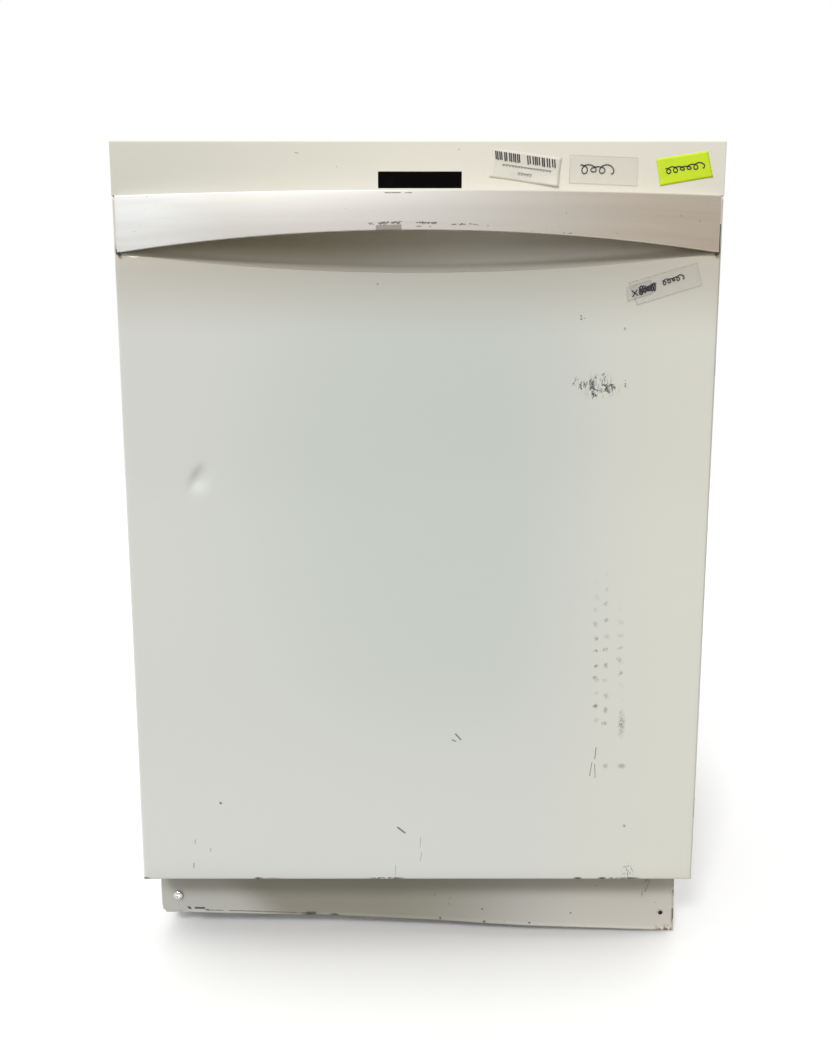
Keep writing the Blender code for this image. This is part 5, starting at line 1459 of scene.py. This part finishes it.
def make_silverware_basket():
    """A moulded lattice basket with six cells and a carrying handle."""
    low, high = corners_of("silverware_basket")
    bm = bmesh.new()
    wall = 0.0022

    def lattice(a, b, start, end):
        """An upright lattice wall from plan point a to plan point b."""
        a, b = Vector((*a, 0)), Vector((*b, 0))
        along = b - a
        steps = max(2, round(along.length / 0.0095))
        for i in range(steps + 1):
            p = a + along * i / steps
            thick = wall if i in (0, steps) else wall * 0.55
            box_into(bm, (p.x - thick / 2, p.y - thick / 2, start), (p.x + thick / 2, p.y + thick / 2, end))
        level = start
        while level <= end - 0.001:
            outer = level == start or level > end - 0.012
            rim, height = (wall / 2, 0.003) if outer else (wall * 0.28, 0.0014)
            box_into(bm, (min(a.x, b.x) - rim, min(a.y, b.y) - rim, level),
                     (max(a.x, b.x) + rim, max(a.y, b.y) + rim, level + height))
            level += 0.0115

    inset = wall / 2
    x0, x1, y0, y1 = low.x + inset, high.x - inset, low.y + inset, high.y - inset
    for y in (y0, y1):
        lattice((x0, y), (x1, y), low.z, high.z)
    for x in (x0, (x0 + x1) / 2, x1):
        lattice((x, y0), (x, y1), low.z, high.z)
    for y in even(y0, y1, 4)[1:-1]:
        lattice((x0, y), (x1, y), low.z, high.z)
    box_into(bm, (x0, y0, low.z), (x1, y1, low.z + 0.0016))
    middle = (x0 + x1) / 2
    centre = (y0 + y1) / 2
    route = rounded([(middle, centre - 0.060, high.z - 0.004), (middle, centre - 0.045, high.z + 0.030),
                     (middle, centre + 0.045, high.z + 0.030), (middle, centre + 0.060, high.z - 0.004)],
                    0.020, 6, closed=False)
    tube(bm, route, 0.0036, 14)
    piece("silverware_lattice", bm, GREY, "lower_rack_body", ["silverware_basket"], 40)


# ---------------------------------------------------------------- base, works and skins
def make_works():
    low, high = corners_of("circulation_pump")
    centre = (0, (low.y + high.y) / 2, (low.z + high.z) / 2)
    profile = [(0, 0.0500), (0.028, 0.0500), (0.031, 0.0508), (0.0410, 0.0575), (0.0420, 0.0600),
               (0.0420, 0.0860), (0.0410, 0.0880), (0.0340, 0.0915), (0.0330, 0.0930)]
    for i in range(9):
        start = 0.0970 + 0.0092 * i
        profile += [(0.0330, start), (0.0312, start + 0.0008),
                    (0.0312, start + 0.0034), (0.0330, start + 0.0042)]
    profile += [(0.0330, 0.1835), (0.0270, 0.1905), (0.0250, 0.1920), (0, 0.1920)]
    bm = lathe(profile, centre, 0, 64)
    piece("circulation_pump_body", bm, DARK, "cabinet", ["circulation_pump"], 35)
    low, high = corners_of("drain_pump")
    centre = (0, (low.y + high.y) / 2, (low.z + high.z) / 2)
    profile = [(0, -0.0850), (0.0212, -0.0850), (0.0220, -0.0860), (0.0220, -0.1230), (0.0205, -0.1250),
               (0.0175, -0.1260), (0.0160, -0.1300), (0.0160, -0.1440), (0.0150, -0.1500), (0, -0.1500)]
    bm = lathe(profile, centre, 0, 48)
    piece("drain_pump_body", bm, DARK, "cabinet", ["drain_pump"], 35)
    dress("inlet_valve", DARK, 0.0015, 3)
    dress("junction_box", ZINC, 0.0010, 2)
    low, high = corners_of("junction_box")
    knockout = ((low.x + high.x) / 2, low.y, (low.z + high.z) / 2)
    ring = [(0.0085, -0.0003), (0.0110, -0.0003), (0.0115, 0.0004), (0.0085, 0.0004)]
    piece("junction_knockout", lathe(ring, knockout, 1, 40), ZINC, "cabinet")


def make_hose():
    """The corrugated drain hose, with its smooth cuffed ends."""
    back = edge("drain_hose", 1, 1) - 0.0095
    corners = [(-0.1515, -0.045, 0.050), (-0.1900, -0.045, 0.050), (-0.2140, 0.030, 0.056),
               (-0.2150, 0.220, 0.064), (-0.2190, 0.285, 0.074), (-0.2220, back, 0.130),
               (-0.2220, back, 0.520), (-0.1700, back, 0.600), (-0.1180, back, 0.520),
               (-0.1180, back, 0.0755)]
    coarse = rounded(corners, 0.060, 12, closed=False)
    route, radii = [coarse[0]], [0.0088]
    travelled, pitch = 0.0, 0.0034
    for a, b in zip(coarse, coarse[1:]):
        steps = max(1, int((b - a).length / (pitch / 3)))
        for i in range(1, steps + 1):
            travelled += (b - a).length / steps
            route.append(a + (b - a) * i / steps)
            smooth = travelled < 0.018 or (route[-1].z < 0.100 and travelled > 0.8)
            wave = 0.5 + 0.5 * math.cos(2 * math.pi * travelled / pitch)
            radii.append(0.0088 if smooth else 0.0078 + 0.0016 * wave)
    bm = tube(bmesh.new(), route, radii, 14)
    piece("corrugated_hose", bm, moulded("hose_grey", (0.15, 0.15, 0.155), 0.5), "cabinet",
          ["drain_hose"], 70)


def make_springs():
    """Close-wound counterbalance springs with straight end legs."""
    turns, steps, reach = 62, 10, 0.0030
    sideways = Vector((1, 0, 0))
    for name in ("left", "right"):
        low, high = corners_of("door_spring_" + name)
        x = (low.x + high.x) / 2
        start, end = Vector((x, low.y + 0.002, 0.1295)), Vector((x, high.y - 0.002, 0.0706))
        along = (end - start).normalized()
        up = sideways.cross(along)
        route = []
        for i in range(turns * steps + 1):
            t = i / (turns * steps)
            turn = 2 * math.pi * turns * t
            route.append(start + (end - start) * (0.10 + 0.62 * t)
                         + sideways * reach * math.cos(turn) + up * reach * math.sin(turn))
        bm = tube(bmesh.new(), [start] + route + [end], 0.0009, 6)
        piece("spring_coil_" + name, bm, BRIGHT, "cabinet", ["door_spring_" + name], 70)


def make_feet():
    for name in ("front_left", "front_right", "rear_left", "rear_right"):
        low, high = corners_of("foot_" + name)
        centre = ((low.x + high.x) / 2, (low.y + high.y) / 2, 0)
        profile = [(0, 0.0), (0.0174, 0.0), (0.0180, 0.0006), (0.0180, 0.0066), (0.0172, 0.0080),
                   (0.0125, 0.0096), (0.0100, 0.0100)]
        level = 0.0100
        while level < 0.0440:
            profile += [(0.0044, level + 0.0002), (0.0050, level + 0.0008)]
            level += 0.0013
        profile += [(0.0042, 0.0448), (0, 0.0450)]
        piece(f"foot_{name}_turned", lathe(profile, centre, 2, 40), DARK, f"foot_{name}_body",
              ["foot_" + name], 35)


def make_blanket():
    """A felt slab folded over the tub, with a puffed skin and soft folds."""
    low, high = corners_of("insulation_blanket")
    inner_z = 0.8360
    rng = np.random.default_rng(7)
    phases = rng.uniform(0, 6.28, 6)
    path = []
    for z in even(low.z, inner_z - 0.012, 26):
        path.append((high.x, z, 1.0, 0.0))
    for i in range(1, 6):
        turn = math.pi / 2 * i / 6
        path.append((high.x - 0.012 + 0.012 * math.cos(turn), inner_z - 0.012 + 0.0235 * math.sin(turn),
                     math.cos(turn), math.sin(turn)))
    for x in even(high.x - 0.012, low.x + 0.012, 30):
        path.append((x, inner_z + 0.0110, 0.0, 1.0))
    path += [(-x, z, -nx, nz) for x, z, nx, nz in path[:31]][::-1]
    ys = spread([low.y, low.y + 0.006, high.y - 0.006, high.y], [2, 24, 2])
    rows = []
    for x, z, nx, nz in path:
        row = []
        for y in ys:
            wave = 0.0008 * math.sin(31 * y + phases[0] + 9 * z) + 0.0006 * math.sin(47 * (x + z) + phases[1])
            edge_drop = 0.0030 * max(0.0, 1 - min(y - low.y, high.y - y) / 0.006)
            lift = -0.0012 + wave - edge_drop
            row.append((x + nx * lift, y, z + nz * lift))
        rows.append(row)
    bm, _ = skin(rows)
    made = piece("felt_blanket", bm, FELT, "cabinet", ["insulation_blanket"], 60)
    orient(made, Vector((0, 0, 1)))
    thicken(made, 0.0085)
    settle(made)
    made.data.shade_smooth()


def dress_the_rest():
    for node in ("rail_outer_left", "rail_outer_right", "rail_mid_left", "rail_mid_right"):
        dress(node, BRIGHT, 0.0004, 2)
    dress("base_frame", ZINC, 0.0004, 1)
    for node in ("hinge_arm_left", "hinge_arm_right", "counter_bracket_left", "counter_bracket_right"):
        dress(node, ZINC, 0.0004, 2)
    dress("latch_strike", BRIGHT, 0.0005, 2)
    dress("latch_pawl", DARK, 0.0006, 2)


# ---------------------------------------------------------------- stage, light and camera
def make_stage():
    bm = bmesh.new()
    ring = [bm.verts.new((x, y, -0.0005)) for x, y in ((-6, -6), (6, -6), (6, 6), (-6, 6))]
    bm.faces.new(ring)
    mesh = bpy.data.meshes.new("studio_floor")
    bm.to_mesh(mesh)
    bm.free()
    floor = bpy.data.objects.new("studio_floor", mesh)
    bpy.context.collection.objects.link(floor)
    s = Shader("floor_paper", (0.93, 0.93, 0.93), 0.9)
    s.tint(s.fade(s.noise(3.0, 2.0), 0.4, 0.6), (0.925, 0.925, 0.925))
    mesh.materials.append(s.done())
    floor.visible_diffuse = False


def area_light(name, place, aim, size, power, colour):
    data = bpy.data.lights.new(name, "AREA")
    data.shape = "RECTANGLE"
    data.size, data.size_y = size
    data.energy = power
    data.color = colour
    lamp = bpy.data.objects.new(name, data)
    bpy.context.collection.objects.link(lamp)
    lamp.location = place
    lamp.rotation_euler = (Vector(aim) - Vector(place)).to_track_quat("-Z", "Y").to_euler()


def make_light():
    """A white room that is dimmer behind the camera, cool from the left and warm from the right."""
    world = bpy.data.worlds.new("studio")
    bpy.context.scene.world = world
    world.use_nodes = True
    tree = world.node_tree
    split = tree.nodes.new("ShaderNodeSeparateXYZ")
    tree.links.new(tree.nodes.new("ShaderNodeTexCoord").outputs["Generated"], split.inputs[0])

    def mapped(letter, low, high, interpolation="SMOOTHSTEP"):
        """0 to 1 as a direction's X, Y or Z goes from low to high."""
        made = tree.nodes.new("ShaderNodeMapRange")
        made.interpolation_type = interpolation
        made.inputs["From Min"].default_value = low
        made.inputs["From Max"].default_value = high
        tree.links.new(split.outputs[letter], made.inputs["Value"])
        return made.outputs[0]

    across = mapped("X", -0.9, 0.9, "LINEAR")

    def side_colours(left, right):
        """A colour that changes from the left wall to the right wall."""
        made = tree.nodes.new("ShaderNodeValToRGB")
        made.color_ramp.elements[0].color = (*left, 1.0)
        made.color_ramp.elements[1].color = (*right, 1.0)
        tree.links.new(across, made.inputs[0])
        return made.outputs[0]

    shade = side_colours((0.98, 1.02, 1.05), (0.42, 0.38, 0.33))
    low_front = side_colours((0.165, 0.145, 0.105), (0.290, 0.270, 0.215))
    for factor, colour in ((mapped("Z", 0.18, -0.14), low_front),
                           (mapped("Y", -0.15, 0.35), (1.0, 1.0, 1.0, 1.0)),
                           (mapped("Z", 0.45, 1.0), (1.5, 1.5, 1.48, 1.0))):
        mix = tree.nodes.new("ShaderNodeMix")
        mix.data_type = "RGBA"
        tree.links.new(factor, mix.inputs["Factor"])
        tree.links.new(shade, mix.inputs[6])
        if isinstance(colour, tuple):
            mix.inputs[7].default_value = colour
        else:
            tree.links.new(colour, mix.inputs[7])
        shade = mix.outputs[2]
    tree.links.new(shade, tree.nodes["Background"].inputs["Color"])
    area_light("window", (-1.6, -4.7, 4.3), (0, -0.25, 0.4), (0.9, 0.9), 150, (1.0, 0.985, 0.96))
    settings = bpy.context.scene.view_settings
    settings.view_transform = "Standard"
    settings.look = "None"


def make_camera():
    data = bpy.data.cameras.new("front_camera")
    data.sensor_fit = "HORIZONTAL"
    data.sensor_width = 36.0
    data.lens = 35.957
    camera = bpy.data.objects.new("front_camera", data)
    bpy.context.collection.objects.link(camera)
    camera.location = (-0.0018, FACE_Y - 0.848, 0.609)
    camera.rotation_euler = (math.radians(90 - 7.8), 0, 0)
    bpy.context.scene.camera = camera


make_camera()
for make in (make_outer_panel, make_handle_band, make_band_ends, make_console, make_window, make_buttons,
             make_stickers, make_kick_panel, make_kick_screw, make_liner, make_dispenser, make_vent,
             make_tub, make_seal, make_sump, make_filters):
    make()
make_arm("lower_spray_arm", "lower_arm", 0.0140)
make_arm("upper_spray_arm", "upper_arm", 0.0110)
for make in (make_heater, make_float, make_feed, make_upper_rack, make_cup_shelf, make_lower_rack,
             make_wheels, make_tine_row, make_silverware_basket, make_works, make_hose, make_springs,
             make_feet, make_blanket, dress_the_rest, make_stage, make_light):
    make()
